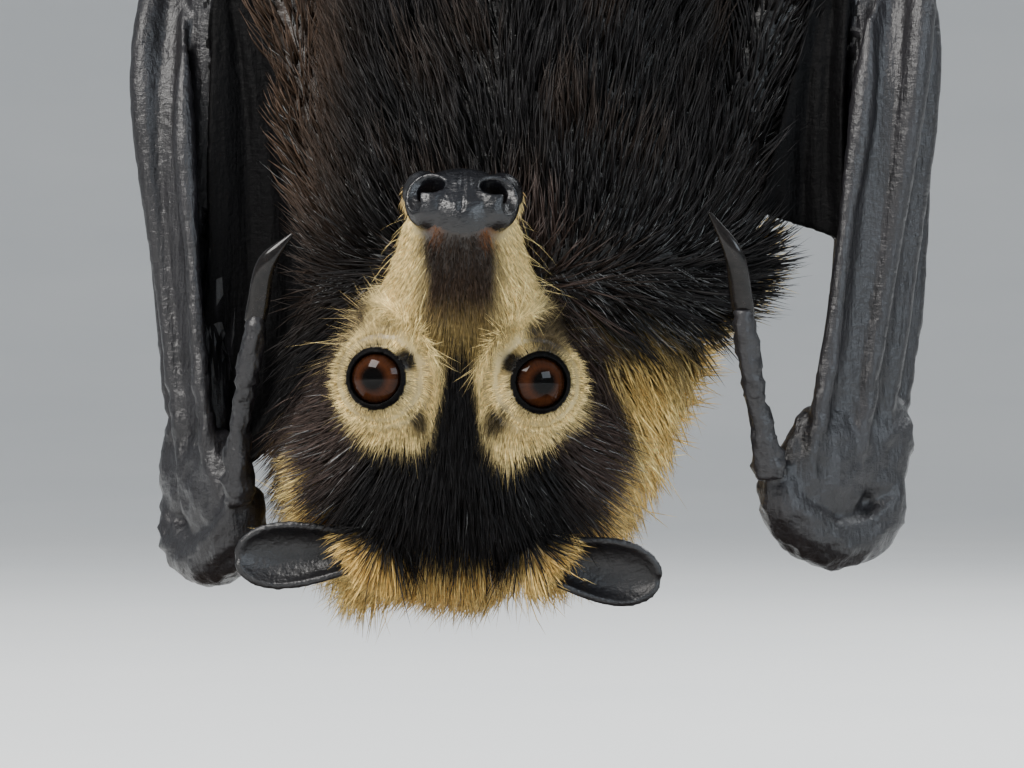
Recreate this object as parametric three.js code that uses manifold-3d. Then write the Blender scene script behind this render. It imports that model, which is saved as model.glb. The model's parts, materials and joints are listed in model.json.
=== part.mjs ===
// A spectacled flying fox at life size, hanging head down from a cut length of branch on a display stand.
// Millimetres, +Z up, origin under the middle of the stand's base. The belly faces -Y. The head hangs
// lowest and is bent forward, so that the muzzle points to -Y and upwards, and the wings are folded.
import * as THREE from "three";
import { mergeVertices } from "three/addons/utils/BufferGeometryUtils.js";
import Module from "manifold-3d";

const wasm = await Module();
wasm.setup();

// ---- Driving dimensions -------------------------------------------------------------------------------

const GAP = 0.3; // between neighbouring solids
const SIDES = { left: -1, right: 1 };

const STAND = { width: 250, depth: 170, thickness: 12, corner: 12, rodRadius: 4, rodSpread: 108 };
const PERCH = { radius: 9.5, length: 236, height: 386, taper: 0.9, twig: 3.4 };

const EYE_RADIUS = 6.2;
const EYE_SPREAD = 12.6; // from the head's middle plane to each eye's centre
const MEMBRANE = 0.9; // thickness of every wing membrane
const WING_DROP = { left: 4, right: 0 }; // how much lower each folded wing hangs

// The head's own frame has its origin between the eyes, +Y along the muzzle and +Z through the crown.
const HEAD_PLACE = [-4, -30, 104];
const HEAD_PITCH = 48; // degrees of the muzzle above the horizon
const HEAD_ROLL = 1.5;
const HEAD_TURN = 12;
const HEAD_EGG = 0.16; // how much narrower the head is above than below

// Stations from the nose to the nape: [y, half-width, top, bottom], out to the tips of the coat.
const HEAD_STATIONS = [
  [38, 0, -6, -10],
  [37, 6.8, -2, -14.8],
  [33, 9.2, 0.2, -18.4],
  [26, 10.8, 1.6, -20.2],
  [18, 12.4, 2.4, -21.2],
  [10, 15, 3.6, -22],
  [2, 19, 6.4, -22.8],
  [-6, 23.6, 11.2, -23.6],
  [-14, 28, 15.4, -24],
  [-22, 31, 17.2, -24.4],
  [-30, 32, 16.6, -24],
  [-38, 29.5, 12.6, -20],
  [-45, 21, 5.5, -12],
  [-49, 0, -3, -4],
];
const MOUTH = { height: -14.6, back: 7, rise: -0.02 };

// Stations down the neck, which carries the golden mantle: [x, y, z, half-width, half-depth].
const NECK_STATIONS = [
  [-10, -6, 62.5, 0, 0],
  [-10, -5, 64.5, 15, 11],
  [-9.8, -2, 70, 24, 17],
  [-9.5, 2, 80, 31, 22],
  [-8.8, 5, 92, 36, 24.5],
  [-7, 7, 104, 39, 25.5],
  [-3, 8, 120, 40, 26],
  [0, 8, 134, 28, 18],
  [0, 8, 140, 0, 0],
];

// Stations up the trunk: [x, y, z, half-width, half-depth].
const TRUNK_STATIONS = [
  [-1, 4, 104, 0, 0],
  [0, 4, 106, 22, 17],
  [2, 5, 112, 39, 27],
  [3, 6, 124, 45, 31],
  [1, 7, 146, 42.5, 32],
  [0, 8, 172, 39.5, 31.5],
  [0, 9, 200, 37.5, 30],
  [0, 10, 226, 33, 27],
  [0, 11, 247, 26, 22],
  [0, 12, 261, 15, 13],
  [0, 12, 267, 0, 0],
];

// Limbs of the right side, mirrored for the left: centre points, with the radius at even steps along.
const LIMBS = {
  upper_arm: {
    points: [[27, 8, 128], [37, 10, 152], [50, 14, 192], [58, 17, 228]],
    radii: [15, 14, 10, 8, 5],
  },
  forearm: {
    points: [[58, 17, 233], [59.5, 15, 196], [59.2, 8, 140], [55, 1, 84]],
    radii: [4.4, 5.8, 4.8, 4, 3.8],
  },
  wrist: {
    points: [[47, -9.5, 91], [49, -7.5, 82.5], [55.5, -0.5, 77], [62, 7, 80.5], [65, 10, 92]],
    radii: [4.2, 5.8, 6.4, 6.2, 4],
  },
  thigh: {
    points: [[12, 11, 226], [19, 12, 242], [31, 15, 262], [39.5, 18, 284]],
    radii: [15, 17.5, 14, 10.5, 7],
  },
  shin: { points: [[39, 18.5, 273], [33.5, 20.5, 314], [20, 16.5, 358]], radii: [5.6, 5.6, 4.2, 3.4] },
};

// Fingers of the right side, from the palm past the knuckle to the tip.
const FINGERS = {
  2: {
    points: [[51.5, -8.5, 85], [55.5, -6.5, 104], [58.5, -3.5, 130], [61, 0, 152], [62, 3.5, 168]],
    radii: [2.4, 1.9, 1.6, 2.4, 1],
  },
  3: {
    points: [[59, -2, 84], [64.5, 2, 120], [70.4, 7, 168], [67, 26, 200], [49, 44, 240], [25, 50, 276]],
    radii: [2.2, 2, 2.8, 1.6, 1.3, 0.8],
  },
  4: {
    points: [
      [62.5, 5, 88], [67.5, 9.5, 122], [70.2, 14.5, 169],
      [58.5, 24.5, 195], [43.5, 37, 232], [26, 43, 262],
    ],
    radii: [2.1, 1.9, 2.6, 1.5, 1.2, 0.8],
  },
  5: {
    points: [
      [64.5, 12, 90], [68.5, 16, 122], [66.5, 20.8, 164],
      [53, 23, 189], [40, 31, 225], [28.5, 36, 250],
    ],
    radii: [2, 1.8, 2.2, 1.4, 1.1, 0.8],
  },
};

// The two thumbs are held a little differently: joints from the wrist, then the claw from root to tip.
const THUMBS = {
  right: {
    points: [[47, -13, 88], [46.2, -15.5, 95], [44.6, -19, 106], [43.4, -21.8, 117]],
    claw: [[43.3, -22.2, 119], [42.6, -25.6, 126], [38.6, -26.2, 133]],
  },
  left: {
    points: [[-47.2, -13, 83], [-47, -15, 92], [-44.6, -18, 104], [-42, -20, 116]],
    claw: [[-41.8, -20.2, 118], [-39.8, -22, 125], [-35.4, -21.6, 130]],
  },
};

// Each ear in the head's frame: root, tip, and the way its hollow side faces.
const EARS = {
  left: { root: [-17, -28, 11], tip: [-38, -33.6, 12.4], hollow: [-0.1, 0.66, 0.75] },
  right: { root: [14.5, -27.5, 10.5], tip: [34, -35.5, 13], hollow: [0.1, 0.66, 0.75] },
};
const EAR = { halfWidth: 6, thickness: 0.9, depth: 3.6 };

const TOES = 5;
const TOE = { radius: 1.6, spacing: 3.7 };
const HEEL = 352; // height of the heels

// Membranes of the right side lie between two edges and bow outwards by their slack.
const MEMBRANES = {
  shoulder_membrane: {
    inner: [[45, 1, 134], [49.5, 2.5, 154], [55, 8, 182]],
    outer: [[56.5, 1.5, 129], [56.5, 2, 152], [57, 8, 182]],
    slack: [0, 3, 0],
  },
  arm_membrane: {
    inner: [[35, 20, 138], [33, 26, 165], [29, 29, 198], [20, 27, 240], [26, 24, 290], [18, 19, 346]],
    outer: [
      [63.5, 16.5, 138], [61, 19.5, 164], [47.5, 25, 192],
      [34, 31, 222], [31, 33, 290], [21.5, 20, 346],
    ],
    slack: [0, 2.5, 0],
  },
};
const WEBS = {
  web_2_3: { from: 2, to: 3, fold: [-1, 1.2, 0], until: [0.9, 0.36] },
  web_3_4: { from: 3, to: 4, fold: [-1.2, 0.4, 0], until: [0.97, 0.97] },
  web_4_5: { from: 4, to: 5, fold: [-1.2, 0.4, 0], until: [0.97, 0.97] },
};

// ---- Materials ----------------------------------------------------------------------------------------

const material = (color, roughness, metalness = 0) =>
  new THREE.MeshStandardMaterial({ color, roughness, metalness });
const blackFur = material(0x1d1a1c, 0.85);
const goldenFur = material(0xb98d4a, 0.85);
const wingSkin = material(0x2f2c30, 0.55);
const earSkin = material(0x3a383e, 0.6);
const eyeBrown = material(0x3b1a0c, 0.08);
const horn = material(0x141214, 0.25);
const bark = material(0x6a5442, 0.9);
const standWood = material(0x8a6a48, 0.5);
const standSteel = material(0x8f9296, 0.3, 0.9);

// ---- Solids from three.js shapes ----------------------------------------------------------------------

const vector = (values) => new THREE.Vector3(...values);
const mirrored = ([x, y, z], side) => vector([x * side, y, z]);
const smooth = (points) => new THREE.CatmullRomCurve3(points, false, "centripetal");

// The solid of a closed geometry, turned right side out.
function toSolid(geometry) {
  const bare = geometry.clone();
  bare.deleteAttribute("normal");
  bare.deleteAttribute("uv");
  const merged = mergeVertices(bare, 1e-4);
  const vertProperties = new Float32Array(merged.attributes.position.array);
  const triVerts = new Uint32Array(merged.index.array);
  const made = new wasm.Manifold(new wasm.Mesh({ numProp: 3, vertProperties, triVerts }));
  if (made.volume() > 0) return made;
  const turned = triVerts.map((_, i) => triVerts[i - (i % 3) + ((3 - (i % 3)) % 3)]);
  return new wasm.Manifold(new wasm.Mesh({ numProp: 3, vertProperties, triVerts: turned }));
}

function toGeometry(solid) {
  const { vertProperties, triVerts, numProp, numVert } = solid.getMesh();
  const positions = new Float32Array(numVert * 3);
  for (let i = 0; i < numVert; i++) {
    positions.set(vertProperties.subarray(i * numProp, i * numProp + 3), i * 3);
  }
  const geometry = new THREE.BufferGeometry();
  geometry.setAttribute("position", new THREE.BufferAttribute(positions, 3));
  geometry.setIndex(new THREE.BufferAttribute(new Uint32Array(triVerts), 1));
  geometry.computeVertexNormals();
  return geometry;
}

const joined = (solids) => solids.reduce((a, b) => a.add(b));

// A sphere reshaped ring by ring: place(share from end to end, angle round, target). Its poles are closed.
function shapedSphere(segments, rings, place) {
  const geometry = new THREE.SphereGeometry(1, segments, rings);
  const position = geometry.attributes.position;
  const point = new THREE.Vector3();
  const opposite = new THREE.Vector3();
  for (let i = 0; i < position.count; i++) {
    const ring = Math.floor(i / (segments + 1));
    const share = 0.5 - 0.5 * Math.cos((Math.PI * ring) / rings);
    if (ring === 0 || ring === rings) {
      place(share, 0, point);
      place(share, Math.PI, opposite);
      point.lerp(opposite, 0.5);
    } else {
      place(share, ((i - ring * (segments + 1)) / segments) * 2 * Math.PI, point);
    }
    position.setXYZ(i, point.x, point.y, point.z);
  }
  return geometry;
}

// A smooth run through rows of numbers, for the three chosen columns.
function through(rows, columns) {
  const curve = smooth(rows.map((row) => vector(columns.map((column) => row[column]))));
  return (share) => curve.getPoint(share);
}

// A closed body round upright stations, like the trunk and the neck.
function stationBody(stations, segments, rings, grow) {
  const middles = through(stations, [0, 1, 2]);
  const sizes = through(stations, [3, 4, 2]);
  return toSolid(
    shapedSphere(segments, rings, (share, angle, target) => {
      const middle = middles(share);
      const size = sizes(share);
      const ends = grow * (2 * share - 1);
      target.set((size.x + grow) * Math.cos(angle), (size.y + grow) * Math.sin(angle), ends).add(middle);
    }),
  );
}

// A closed limb round a smooth spine, with rounded ends.
function limb(options) {
  const { points, radii, side = 1, flat = 1, across = [1, 0, 0] } = options;
  const { segments = 10, rings = 9, blunt = 5, grow = 0 } = options;
  const spine = smooth(points.map((point) => mirrored(point, side)));
  const widths = smooth(radii.map((radius, i) => new THREE.Vector3(i, radius, 0)));
  const reference = mirrored(across, side).normalize();
  return toSolid(
    shapedSphere(segments, rings, (share, angle, target) => {
      const way = spine.getTangent(share);
      const front = new THREE.Vector3().crossVectors(way, reference).normalize();
      const beside = new THREE.Vector3().crossVectors(front, way).normalize();
      const taper = Math.max(0, 1 - Math.abs(2 * share - 1) ** blunt) ** (1 / blunt);
      const radius = widths.getPoint(share).y * taper + grow;
      target.copy(spine.getPoint(share));
      target.addScaledVector(beside, radius * Math.cos(angle));
      target.addScaledVector(front, (radius * flat + grow * (1 - flat)) * Math.sin(angle));
      target.addScaledVector(way, grow * (2 * share - 1));
    }),
  );
}

// A thin sheet whose middle surface is middle(u, v), for u and v from 0 to 1.
function sheet(columns, rows, thickness, middle) {
  const geometry = new THREE.BoxGeometry(1, 1, 1, columns, rows, 1);
  const position = geometry.attributes.position;
  const step = 1e-3;
  for (let i = 0; i < position.count; i++) {
    const [u, v] = [position.getX(i) + 0.5, position.getY(i) + 0.5];
    const alongU = middle(Math.min(1, u + step), v).sub(middle(Math.max(0, u - step), v));
    const alongV = middle(u, Math.min(1, v + step)).sub(middle(u, Math.max(0, v - step)));
    const normal = alongU.cross(alongV).normalize();
    const point = middle(u, v).addScaledVector(normal, position.getZ(i) * thickness);
    position.setXYZ(i, point.x, point.y, point.z);
  }
  return toSolid(geometry);
}

// ---- Head ---------------------------------------------------------------------------------------------

const headGroup = new THREE.Group();
const [pitch, roll, turn] = [180 - HEAD_PITCH, HEAD_ROLL, HEAD_TURN].map(THREE.MathUtils.degToRad);
headGroup.position.set(...HEAD_PLACE);
headGroup.rotation.set(pitch, roll, turn, "ZYX");
headGroup.updateMatrixWorld(true);
const fromHead = (solid) => toSolid(toGeometry(solid).applyMatrix4(headGroup.matrixWorld));

function headCoat(grow) {
  const widths = through(HEAD_STATIONS, [0, 1, 2]);
  const depths = through(HEAD_STATIONS, [0, 3, 2]);
  return toSolid(
    shapedSphere(18, 15, (share, angle, target) => {
      const { x: y, y: width, z: top } = widths(share);
      const bottom = depths(share).y;
      const egg = 1 - HEAD_EGG * Math.cos(angle);
      const height = (top - bottom) / 2 + grow;
      target.set(
        (width * egg + grow) * Math.sin(angle),
        y + grow * (1 - 2 * share),
        (top + bottom) / 2 + height * Math.cos(angle),
      );
    }),
  );
}

function eyeball(side, grow) {
  const ball = new THREE.SphereGeometry(EYE_RADIUS + grow, 12, 8);
  ball.translate(side * EYE_SPREAD, 0.4, -0.6);
  return toSolid(ball);
}

// A pit that opens forwards and outwards in the nose pad.
function nostril(side) {
  const pit = new THREE.SphereGeometry(1, 6, 5);
  pit.scale(1.9, 3, 1.3);
  pit.rotateZ(-side * 0.6);
  pit.translate(side * 5, 36.8, -6.3);
  return toSolid(pit);
}

// Everything below the closed mouth and in front of its corners.
function jawSpace(grow) {
  const length = 60;
  const block = new THREE.BoxGeometry(90, length + grow * 2, 30);
  block.translate(0, MOUTH.back + length / 2, -15 + grow);
  block.rotateX(MOUTH.rise);
  block.translate(0, 0, MOUTH.height);
  return toSolid(block);
}

function ear(name, grow) {
  const [root, tip, hollow] = [EARS[name].root, EARS[name].tip, EARS[name].hollow].map(vector);
  const along = tip.clone().sub(root);
  const way = along.clone().normalize();
  const out = hollow.addScaledVector(way, -hollow.dot(way)).normalize();
  const across = new THREE.Vector3().crossVectors(way, out);
  return sheet(5, 6, EAR.thickness + grow * 2, (u, v) => {
    const rounding = Math.sqrt(1 - 0.93 * Math.max(0, (v - 0.3) / 0.7) ** 2.6);
    const spread = 2 * u - 1;
    const point = root.clone().addScaledVector(along, v);
    point.addScaledVector(across, spread * EAR.halfWidth * rounding * (0.8 + 0.2 * v));
    return point.addScaledVector(out, -EAR.depth * (1 - spread ** 2) * (1 - 0.7 * v));
  });
}

// ---- Wings --------------------------------------------------------------------------------------------

// A finger's middle line and its radius on the way.
function fingerPath(number, side) {
  const { points, radii } = FINGERS[number];
  const line = smooth(points.map((point) => mirrored(point, side)));
  const widths = smooth(radii.map((radius, i) => new THREE.Vector3(i, radius, 0)));
  return (share) => [line.getPoint(share), widths.getPoint(share).y];
}

// The web between two fingers is a strip from the side of one to the side of the other, which folds inwards.
function web({ from, to, fold, until }, side, grow) {
  const [first, second] = [fingerPath(from, side), fingerPath(to, side)];
  const slack = mirrored(fold, side);
  return sheet(3, 6, MEMBRANE + grow * 2, (u, v) => {
    const placeOn = (line, i) => line(THREE.MathUtils.lerp(0.1, until[i], v));
    const [[a, radiusA], [b, radiusB]] = [first, second].map(placeOn);
    const margin = GAP + MEMBRANE + 0.2 - grow;
    const apart = a.distanceTo(b);
    const [start, end] = [(radiusA + margin) / apart, 1 - (radiusB + margin) / apart];
    const middle = (start + end) / 2;
    const across = THREE.MathUtils.lerp(Math.min(start, middle), Math.max(end, middle), u);
    const fullness = Math.sin(Math.PI * u) * Math.sin(Math.PI * (0.05 + 0.9 * v)) ** 0.6;
    return a.lerp(b, across).addScaledVector(slack, fullness);
  });
}

function membrane({ inner, outer, slack }, side, grow) {
  const [from, to] = [inner, outer].map((edge) => smooth(edge.map((point) => mirrored(point, side))));
  const bow = mirrored(slack, side);
  return sheet(4, 8, MEMBRANE + grow * 2, (u, v) => {
    const fullness = Math.sin(Math.PI * u) * (1 - 0.7 * v ** 4);
    return from.getPoint(v).lerp(to.getPoint(v), u).addScaledVector(bow, fullness);
  });
}

// ---- Feet ---------------------------------------------------------------------------------------------

const spreadOfToe = (number) => (number - (TOES - 1) / 2) * TOE.spacing;
const reachOfToe = PERCH.radius + TOE.radius + 0.8;

// A point on a ring round the perch, where 0 degrees is behind it and 90 on top.
function roundPerch(number, degrees, reach) {
  const angle = THREE.MathUtils.degToRad(degrees);
  const x = LIMBS.shin.points[2][0] + spreadOfToe(number);
  return [x, reach * Math.cos(angle), PERCH.height + reach * Math.sin(angle)];
}

// One toe runs up in front of the sole and over the top of the perch.
function toe(number, side, grow) {
  const [x, y] = LIMBS.shin.points[2];
  const spread = spreadOfToe(number);
  const points = [[x + spread * 0.4, y, HEEL + 5], [x + spread * 0.8, y - 0.6, HEEL + 20]];
  for (const degrees of [8, 50, 92, 128]) points.push(roundPerch(number, degrees, reachOfToe));
  const radii = [2.2, 1.9, TOE.radius, TOE.radius, TOE.radius, 1.3];
  return limb({ points, radii, side, segments: 5, rings: 6, blunt: 12, grow });
}

// The claw goes on from the toe's tip and hooks round the front of the perch.
function toeClaw(number, side, grow) {
  const lifts = [0.2, 1, 0.8, -0.4];
  const points = [130, 156, 182, 204].map((degrees, i) => roundPerch(number, degrees, reachOfToe + lifts[i]));
  return limb({ points, radii: [1.2, 1.15, 0.75, 0.3], side, segments: 5, rings: 5, blunt: 9, grow });
}

function foot(side, grow) {
  const [x, y] = LIMBS.shin.points[2];
  const points = [[x, y, HEEL - 3], [x, y - 0.4, HEEL + 10], [x, y - 1.6, HEEL + 24]];
  const radii = [4.4, 5.8, 7.6];
  const sole = limb({ points, radii, side, flat: 0.42, segments: 7, rings: 4, blunt: 4, grow });
  return joined([sole, ...Array.from({ length: TOES }, (_, number) => toe(number, side, grow))]);
}

// ---- Perch and stand ----------------------------------------------------------------------------------

// A cut branch: round, tapering, slightly lumpy, with the stub of a twig.
function branch(grow) {
  const long = new THREE.CylinderGeometry(1, 1, PERCH.length, 12, 8);
  const position = long.attributes.position;
  for (let i = 0; i < position.count; i++) {
    const along = position.getY(i);
    const share = along / PERCH.length + 0.5;
    const [x, z] = [position.getX(i), position.getZ(i)];
    const lumps = 1 + 0.03 * Math.sin(along * 0.11) * Math.sin(3 * Math.atan2(z, x));
    const radius = PERCH.radius * THREE.MathUtils.lerp(1, PERCH.taper, share) * lumps + grow;
    position.setXYZ(i, along, z * radius, PERCH.height + x * radius);
  }
  const points = [[64, 0, PERCH.height], [70, -6, PERCH.height + 8], [75, -11, PERCH.height + 15]];
  const radii = [PERCH.twig + 1, PERCH.twig, PERCH.twig * 0.8];
  return toSolid(long).add(limb({ points, radii, segments: 7, rings: 4, blunt: 14, grow }));
}

function standBase() {
  const [w, d, r] = [STAND.width / 2, STAND.depth / 2, STAND.corner];
  const outline = new THREE.Shape();
  outline.absarc(w - r, d - r, r, 0, Math.PI / 2);
  outline.absarc(-w + r, d - r, r, Math.PI / 2, Math.PI);
  outline.absarc(-w + r, -d + r, r, Math.PI, 1.5 * Math.PI);
  outline.absarc(w - r, -d + r, r, 1.5 * Math.PI, 2 * Math.PI);
  const options = { depth: STAND.thickness, bevelEnabled: false, curveSegments: 3 };
  return toSolid(new THREE.ExtrudeGeometry(outline, options));
}

// A rod with a low flange at its foot, up into the underside of the perch.
function standRod(side) {
  const [flange, height] = [STAND.rodRadius * 2.4, PERCH.height - STAND.thickness - 3];
  const profile = [
    [0, 0],
    [flange, 0],
    [flange, 2.4],
    [STAND.rodRadius, 4.4],
    [STAND.rodRadius, height],
    [0, height],
  ];
  const rod = new THREE.LatheGeometry(profile.map(([x, y]) => new THREE.Vector2(x, y)), 14);
  rod.rotateX(Math.PI / 2);
  rod.translate(side * STAND.rodSpread, 0, STAND.thickness + GAP);
  return toSolid(rod);
}

// ---- The whole animal, part by part -------------------------------------------------------------------

// Each part is a name, a surface and a way to make its solid, grown by the gap when it carves another.
// Earlier parts keep their whole form. Parts of one family are already cut to fit each other.
const parts = [];
const add = (name, surface, make, family = name) => parts.push({ name, surface, make, family });

add("perch", bark, branch);
for (const [name, side] of Object.entries(SIDES)) {
  add(`eye_${name}`, eyeBrown, (grow) => fromHead(eyeball(side, grow)));
}
const skullCuts = joined([jawSpace(GAP / 2), ...Object.values(SIDES).map(nostril)]);
add("head", blackFur, (grow) => fromHead(grow ? headCoat(grow) : headCoat(0).subtract(skullCuts)), "head");
add("lower_jaw", blackFur, (grow) => fromHead(headCoat(grow).intersect(jawSpace(-GAP / 2))), "head");
for (const name of Object.keys(SIDES)) add(`ear_${name}`, earSkin, (grow) => fromHead(ear(name, grow)));
add("neck", goldenFur, (grow) => stationBody(NECK_STATIONS, 16, 9, grow));
add("trunk", blackFur, (grow) => stationBody(TRUNK_STATIONS, 18, 10, grow));

for (const [name, side] of Object.entries(SIDES)) {
  const limbOf = (key, options) => (grow) => limb({ ...LIMBS[key], side, grow, ...options });
  const hung = (make) => (grow) => make(grow).translate([0, 0, -WING_DROP[name]]);
  const { points, claw } = THUMBS[name];
  const thumb = { points, radii: [4.2, 3.2, 2.4, 2.6, 2.6], segments: 7, rings: 7 };
  const thumbClaw = { points: claw, radii: [2, 1.8, 1.2, 0.35], flat: 0.62, segments: 6, rings: 6, blunt: 9 };
  add(`thigh_${name}`, blackFur, limbOf("thigh", { rings: 7 }));
  add(`upper_arm_${name}`, blackFur, limbOf("upper_arm", { rings: 8 }));
  add(`forearm_${name}`, wingSkin, hung(limbOf("forearm", { segments: 8, rings: 8 })));
  const bent = { flat: 0.86, across: [-0.6, 0.8, 0], segments: 9, blunt: 4 };
  add(`wrist_${name}`, wingSkin, hung(limbOf("wrist", bent)));
  add(`thumb_${name}`, wingSkin, (grow) => limb({ ...thumb, grow }));
  add(`thumb_claw_${name}`, horn, (grow) => limb({ ...thumbClaw, grow }));
  for (const [number, finger] of Object.entries(FINGERS)) {
    const options = { ...finger, side, segments: 5, rings: finger.points.length + 4, blunt: 12 };
    add(`finger_${number}_${name}`, wingSkin, hung((grow) => limb({ ...options, grow })));
  }
  for (const [key, shape] of Object.entries(WEBS)) {
    add(`${key}_${name}`, wingSkin, hung((grow) => web(shape, side, grow)));
  }
  add(`shin_${name}`, wingSkin, limbOf("shin", { segments: 7, rings: 5 }));
  for (const [key, shape] of Object.entries(MEMBRANES)) {
    add(`${key}_${name}`, wingSkin, hung((grow) => membrane(shape, side, grow)));
  }
  for (let number = 0; number < TOES; number++) {
    add(`toe_claw_${number + 1}_${name}`, horn, (grow) => toeClaw(number, side, grow));
  }
  add(`foot_${name}`, wingSkin, (grow) => foot(side, grow));
}
add("stand_base", standWood, standBase);
for (const [name, side] of Object.entries(SIDES)) add(`stand_rod_${name}`, standSteel, () => standRod(side));

const meets = (a, b) => [0, 1, 2].every((i) => a.min[i] < b.max[i] && b.min[i] < a.max[i]);
const bat = new THREE.Group();
const carvers = [];
for (const { name, surface, make, family } of parts) {
  let solid = make(0);
  const bounds = solid.boundingBox();
  for (const carver of carvers) {
    if (carver.family !== family && meets(carver.bounds, bounds)) solid = solid.subtract(carver.solid);
  }
  solid = solid.decompose().reduce((a, b) => (b.volume() > a.volume() ? b : a));
  const grown = make(GAP);
  carvers.push({ solid: grown, bounds: grown.boundingBox(), family });
  const mesh = new THREE.Mesh(toGeometry(solid), surface);
  mesh.name = name;
  bat.add(mesh);
}

export default bat;
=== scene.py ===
# %% [markdown]
# # A spectacled flying fox, hanging
# A museum shows such a bat as a still, life-size model. This one is built in layers. One skin covers
# all its flesh. The coat is made of small tapered locks that grow from that skin. Eyes and claws are
# pieces of their own. The perch and the display stand complete it. Lengths in the script are in
# millimetres unless a name says otherwise, and they are turned into metres where a mesh is made.

# %% Frame and tools
import json
import math

import bpy
import numpy as np
from mathutils import Matrix, Vector, kdtree

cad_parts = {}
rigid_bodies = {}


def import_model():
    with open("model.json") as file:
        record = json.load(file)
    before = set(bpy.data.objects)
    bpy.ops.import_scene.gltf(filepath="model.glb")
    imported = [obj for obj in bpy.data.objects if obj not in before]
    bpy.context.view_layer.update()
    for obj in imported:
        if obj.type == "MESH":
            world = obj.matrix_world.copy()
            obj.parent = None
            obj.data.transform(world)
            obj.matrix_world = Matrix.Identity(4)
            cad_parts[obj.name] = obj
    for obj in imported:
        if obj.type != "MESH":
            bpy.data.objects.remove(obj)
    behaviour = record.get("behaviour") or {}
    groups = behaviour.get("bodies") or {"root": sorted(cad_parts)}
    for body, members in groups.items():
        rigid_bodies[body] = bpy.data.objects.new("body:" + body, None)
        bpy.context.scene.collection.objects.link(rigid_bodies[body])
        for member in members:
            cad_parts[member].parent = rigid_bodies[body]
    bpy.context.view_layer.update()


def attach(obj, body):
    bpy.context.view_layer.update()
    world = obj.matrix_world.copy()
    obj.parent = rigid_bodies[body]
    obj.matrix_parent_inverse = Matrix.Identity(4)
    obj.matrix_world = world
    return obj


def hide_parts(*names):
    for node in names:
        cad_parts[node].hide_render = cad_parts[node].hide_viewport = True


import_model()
MM = 0.001
SIDES = {"left": -1, "right": 1}

# %% [markdown]
# ## Camera
# The camera looks level at the face from a little to the animal's left. A long lens from 0.8 m
# keeps the muzzle in proportion, where a near camera would swell it. The frame is about 174 mm wide
# there.

# %% Camera
CAMERA_TURN = math.radians(12)
CAMERA_DISTANCE = 800
AIM = np.array([4.9, -28.1, 104.0])
toward_camera = np.array([math.sin(CAMERA_TURN), -math.cos(CAMERA_TURN), 0])
camera_data = bpy.data.cameras.new("camera")
camera_data.sensor_width = 36
camera_data.lens = 165.4
camera_data.clip_end = 20
camera = bpy.data.objects.new("camera", camera_data)
camera.location = Vector((AIM + toward_camera * CAMERA_DISTANCE) * MM)
camera.rotation_euler = (math.pi / 2, 0, CAMERA_TURN)
bpy.context.scene.collection.objects.link(camera)
bpy.context.scene.camera = camera
print("camera at", [round(v, 3) for v in camera.location])

# %% [markdown]
# ## Smooth paths
# An animal has hardly a straight line, so most of its parts follow a smooth path through a few
# measured points. A Bezier curve object could give that path, but plain arrays are easier to bend,
# mirror and measure afterwards. The steps between points follow their distance, which keeps the
# path from looping where two points lie close together.

# %% Smooth paths


def unit(v):
    """The vectors of v at length one."""
    return v / np.maximum(np.linalg.norm(v, axis=-1, keepdims=True), 1e-9)


def path(points, shares):
    """Places on a smooth curve through points; shares run from 0 to 1, evenly per point."""
    p = np.asarray(points, float)
    p = np.vstack([2 * p[0] - p[1], p, 2 * p[-1] - p[-2]])
    t = np.clip(np.atleast_1d(shares), 0, 1) * (len(p) - 3)
    i = np.minimum(t.astype(int), len(p) - 4)
    w = (t - i)[:, None]
    a, b, c, d = p[i], p[i + 1], p[i + 2], p[i + 3]
    g0, g1, g2 = [
        np.maximum(np.linalg.norm(y - x, axis=1)[:, None] ** 0.5, 1e-4) for x, y in ((a, b), (b, c), (c, d))
    ]
    t1 = ((b - a) / g0 - (c - a) / (g0 + g1) + (c - b) / g1) * g1
    t2 = ((c - b) / g1 - (d - b) / (g1 + g2) + (d - c) / g2) * g1
    return b + t1 * w + (3 * (c - b) - 2 * t1 - t2) * w**2 + (2 * (b - c) + t1 + t2) * w**3


print("a path's middle:", path([[0, 0, 0], [1, 1, 0], [2, 0, 0]], 0.5).round(2))

# %% [markdown]
# ## Closed bodies from rings
# A loft joins a stack of rings and closes its two ends. Every body is turned to look outwards,
# because a body that is inside out cuts nothing in a boolean.

# %% Closed bodies


def grid_faces(rows, columns, closed=True):
    """Quads over a grid of rows by columns, closed round the columns if asked."""
    r = np.arange(rows - 1)[:, None]
    c = np.arange(columns if closed else columns - 1)[None, :]
    n = (c + 1) % columns
    corners = (r * columns + c, r * columns + n, (r + 1) * columns + n, (r + 1) * columns + c)
    return np.stack(np.broadcast_arrays(*corners), -1).reshape(-1, 4)


def outward(verts, tris):
    """The same closed body with its faces turned to look out."""
    a, b, c = (verts[tris[:, i]] for i in range(3))
    volume = np.einsum("ij,ij->i", a, np.cross(b, c)).sum()
    return verts, tris if volume > 0 else tris[:, ::-1]


def loft(rings):
    """A closed body over rings of points, with its two ends drawn in to a point."""
    rows, columns, _ = rings.shape
    verts = np.concatenate([rings.reshape(-1, 3), rings[:1].mean(1), rings[-1:].mean(1)])
    quads = grid_faces(rows, columns)
    c = np.arange(columns)
    n = (c + 1) % columns
    first = np.stack([np.full(columns, rows * columns), n, c], 1)
    base = (rows - 1) * columns
    last = np.stack([np.full(columns, rows * columns + 1), base + c, base + n], 1)
    return outward(verts, np.concatenate([quads[:, [0, 1, 2]], quads[:, [0, 2, 3]], first, last]))


print("faces of a small grid:", len(grid_faces(3, 4)))

# %% [markdown]
# ## Trunks and limbs
# A trunk is lofted through upright stations, each with its middle, half-width and half-depth. A limb
# is a loft round a path with a radius at each point, and its ends are rounded.

# %% Trunks and limbs


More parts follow.
